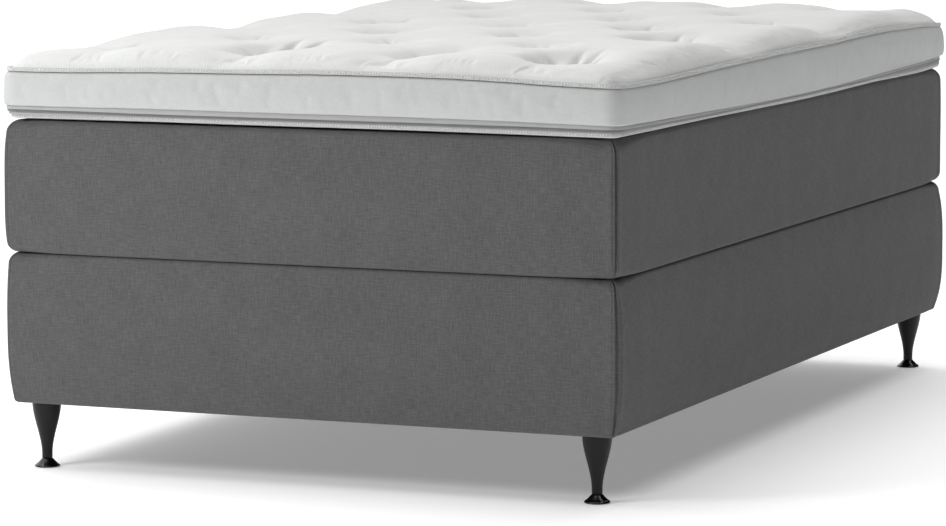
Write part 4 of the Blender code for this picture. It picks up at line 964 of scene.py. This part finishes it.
def make_leg(corner):
    """A slim neck that swells smoothly to the leg's full width at the top, and its flared foot."""
    low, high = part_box("leg_" + corner)
    top, neck_top = (high.x - low.x) / 2, low.z + 9 * MM
    profile = [(AXIS_GAP, low.z), (LEG_NECK - 0.6 * MM, low.z), (LEG_NECK, low.z + 0.6 * MM)]
    for share in np.arange(LEG_STEPS + 1) / LEG_STEPS:
        profile.append((LEG_NECK + (top - LEG_NECK) * share ** 2 * (3 - 2 * share),
                        neck_top + (high.z - LEG_EASE - neck_top) * share))
    profile += [(top - 0.3 * MM, high.z - 0.3 * MM), (top - LEG_EASE, high.z), (AXIS_GAP, high.z)]
    make_turning("turned_leg_" + corner, "leg_" + corner, profile, "black_lacquer")
    low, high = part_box("foot_" + corner)
    rim = (high.x - low.x) / 2
    foot = high.z if high.z < 20 * MM else FOOT_TOP
    profile = [(AXIS_GAP, 0.2 * MM), (rim - 3.5 * MM, 0.2 * MM), (rim - 2.3 * MM, 0.0),
               (rim - 0.8 * MM, 0.3 * MM), (rim, 1.2 * MM), (rim, 2.2 * MM), (rim - 0.5 * MM, 3.0 * MM),
               (rim - DOME_INSET, FOOT_DOME)]
    for share in np.arange(1, FOOT_STEPS + 1) / FOOT_STEPS:
        profile.append((rim - DOME_INSET - (rim - DOME_INSET - LEG_NECK) * share ** 0.85,
                        FOOT_DOME + (foot - FOOT_DOME) * share))
    profile += [(LEG_NECK, foot), (AXIS_GAP, foot)]
    make_turning("flared_foot_" + corner, "foot_" + corner, profile, "black_plastic")


# Inner foams and wadding, eased at their edges like the covers round them

def make_slab(name, node, body, slot, corner, spacing, profile, caps="first last", relief=None,
              spread=None):
    """A cut or sewn slab through (inset, level) points. relief gives its lowest rows some height, and
    spread is the corner that its columns are spread for, where that isn't the one drawn."""
    table, along = plan_columns(spread or corner, spacing)
    rows = []
    for run, z in profile:
        points = np.column_stack([plan_ring(table, run, corner)[0], np.full(len(table), z)])
        if relief and z == profile[0][1]:
            points[:, 2] += relief(points[:, :2], run)
        rows.append(points)
    slab = make_rings(name, rows, along, [z for _, z in profile], body, slot, replaces=(node,), caps=caps)


def make_foam(node, body, inset, ease, squeezed=0.0):
    """A foam sheet with eased edges, its top squeezed down by this much."""
    low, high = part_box(node)[0].z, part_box(node)[1].z - squeezed
    profile = [(inset + ease, low), (inset + 0.3 * ease, low + 0.3 * ease), (inset, low + ease),
               (inset, high - ease), (inset + 0.3 * ease, high - 0.3 * ease),
               (inset + ease, high - 0.5 * MM)]
    make_slab(node + "_eased", node, body, "foam", 20 * MM, 60 * MM, profile)


def make_padding(node, body, inset, thick):
    """Wadding wrapped round the frame, drawn in at its lower edge."""
    low, high = (corner.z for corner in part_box(node))
    profile = [(inset + thick, low + 3 * MM), (inset + 0.6 * thick, low + 2 * MM),
               (inset + 0.3 * thick, low + 4 * MM), (inset, low + 110 * MM), (inset, high - 3 * MM),
               (inset + 0.5 * thick, high), (inset + thick, high - 3 * MM),
               (inset + thick, low + 3 * MM)]
    make_slab(node + "_wrap", node, body, "wadding", 14 * MM, 60 * MM, profile, caps="")


# Cloths under the base and the mattress

HOLE_RADIUS, HOLE_STEPS = 28.5 * MM, 8
DUST_SPACING, DUST_THICK = 55 * MM, 0.4 * MM
# How far each cloth gives at least, its waves on top of that, their size and seed, and the run from
# the edge over which it starts to give
DUST_SLACK = (1.6 * MM, 1.2 * MM, 350 * MM, 41, 60 * MM)
CLOSING_SLACK = (0.7 * MM, 0.6 * MM, 120 * MM, 43, 20 * MM)
CLOSING_RINGS = (520, 400, 280, 180, 110, 60, 30, 12, 3)


def slack(flat, edge, least, waves, size, seed, run):
    """How far a cloth gives at plan points this far from its edge."""
    points = np.column_stack([flat, np.zeros(len(flat))])
    return (1 - np.exp(-np.maximum(edge, 0) / run)) * (least + waves * fractal(points, size, seed))


def dust_lines(half, leg, block):
    """Grid lines of the dust cloth: fine across the square round a leg, wide between the legs."""
    middle = np.linspace(block - leg, leg - block, round(2 * (leg - block) / DUST_SPACING) + 1)
    fine = np.linspace(leg - block, leg + block, HOLE_STEPS + 1)
    return np.unique(np.round(np.concatenate([-fine, middle, fine, [-half, half]]), 6))


def make_dust_cloth():
    """Non-woven cloth stapled under the base, with holes for the legs and a little slack."""
    low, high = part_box("base_dust_cloth")
    half_x, half_y = high.x - 1 * MM, high.y - 0.7 * MM
    block = half_y - LEG_PLACE[1]
    xs, ys = dust_lines(half_x, LEG_PLACE[0], block), dust_lines(half_y, LEG_PLACE[1], block)
    flat = np.stack(np.meshgrid(xs, ys, indexing="ij"), -1).reshape(-1, 2)
    faces = grid_faces(len(xs), len(ys))
    from_leg = np.abs(np.abs(flat[faces].mean(1)) - LEG_PLACE).max(1)
    faces = [tuple(f) for f in faces[from_leg > block]]
    # Round each hole: a ring of quads from the square's edge to a circle
    for side_x, side_y in ((-1, -1), (-1, 1), (1, -1), (1, 1)):
        centre = np.array([side_x * LEG_PLACE[0], side_y * LEG_PLACE[1]])
        away = flat - centre
        rim = np.where(np.abs(np.abs(away).max(1) - block) < 1e-6)[0]
        rim = rim[np.argsort(np.arctan2(away[rim, 1], away[rim, 0]))]
        start, count = len(flat), len(rim)
        hole = away[rim] * HOLE_RADIUS / np.linalg.norm(away[rim], axis=1)[:, None]
        flat = np.vstack([flat, centre + hole])
        for k in range(count):
            n = (k + 1) % count
            faces.append((rim[k], rim[n], start + n, start + k))
    edge = np.minimum(half_x - np.abs(flat[:, 0]), half_y - np.abs(flat[:, 1]))
    points = np.column_stack([flat, low.z - slack(flat, edge, *DUST_SLACK)])
    uvs = flat[[k for face in faces for k in face]]
    cloth = make_piece("base_dust_cover", points, faces, uvs, "base", "nonwoven",
                       replaces=("base_dust_cloth",))
    cloth.modifiers.new("thick", "SOLIDIFY").thickness = DUST_THICK
    apply_modifiers(cloth)


def make_closing_cloth():
    """Cloth that closes the mattress cover underneath, its edge turned over."""
    low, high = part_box("mattress_underside_cloth")
    edge = HALF_X - high.x
    profile = [(edge + run * MM, low.z) for run in CLOSING_RINGS]
    profile += [(edge + 1 * MM, low.z + 0.8 * MM), (edge + 0.5 * MM, (low.z + high.z) / 2),
                (edge + 1 * MM, high.z - 0.8 * MM), (edge + 3 * MM, high.z), (edge + 30 * MM, high.z)]
    make_slab("mattress_closing_cloth", "mattress_underside_cloth", "mattress", "nonwoven", 16 * MM,
              40 * MM, profile, spread=20 * MM,
              relief=lambda flat, run: slack(flat, run - edge, *CLOSING_SLACK))


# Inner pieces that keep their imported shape, by the finish and the start of their names

NODE_FINISHES = {
    "pine": ("base_foot_rail", "base_head_rail", "base_slat"),
    "pine_along": ("base_side_rail", "base_centre_beam"),
    "felt": ("base_felt", "mattress_felt"),
    "foam": ("base_edge_foam", "base_foam_pad", "mattress_edge_foam"),
    "pocket_cloth": ("base_spring_unit", "mattress_spring_unit"),
    "beech": ("leg_block",),
    "zinc_steel": ("leg_bolt", "leg_insert"),
    "nickel": ("topper_zip_slider", "topper_zip_pull"),
}


def finish_nodes():
    for node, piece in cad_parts.items():
        for finish, starts in NODE_FINISHES.items():
            if node.startswith(starts):
                piece.data.materials.clear()
                piece.data.materials.append(MATERIALS[finish])


add_camera()
add_studio()
make_cover("base", BASE, BASE_SHAPE, 1)
make_cover("mattress", MATTRESS, MATTRESS_SHAPE, 2)
make_topper()
for leg_corner in ("front_left", "front_right", "rear_left", "rear_right"):
    make_leg(leg_corner)
make_foam("mattress_bottom_foam", "mattress", 13 * MM, 6 * MM)
make_foam("mattress_comfort_foam", "mattress", 16 * MM, 12 * MM)
make_foam("topper_core", "topper", 16 * MM, 10 * MM, 22 * MM)
make_padding("base_padding", "base", 12.5 * MM, 5 * MM)
make_dust_cloth()
make_closing_cloth()
finish_nodes()
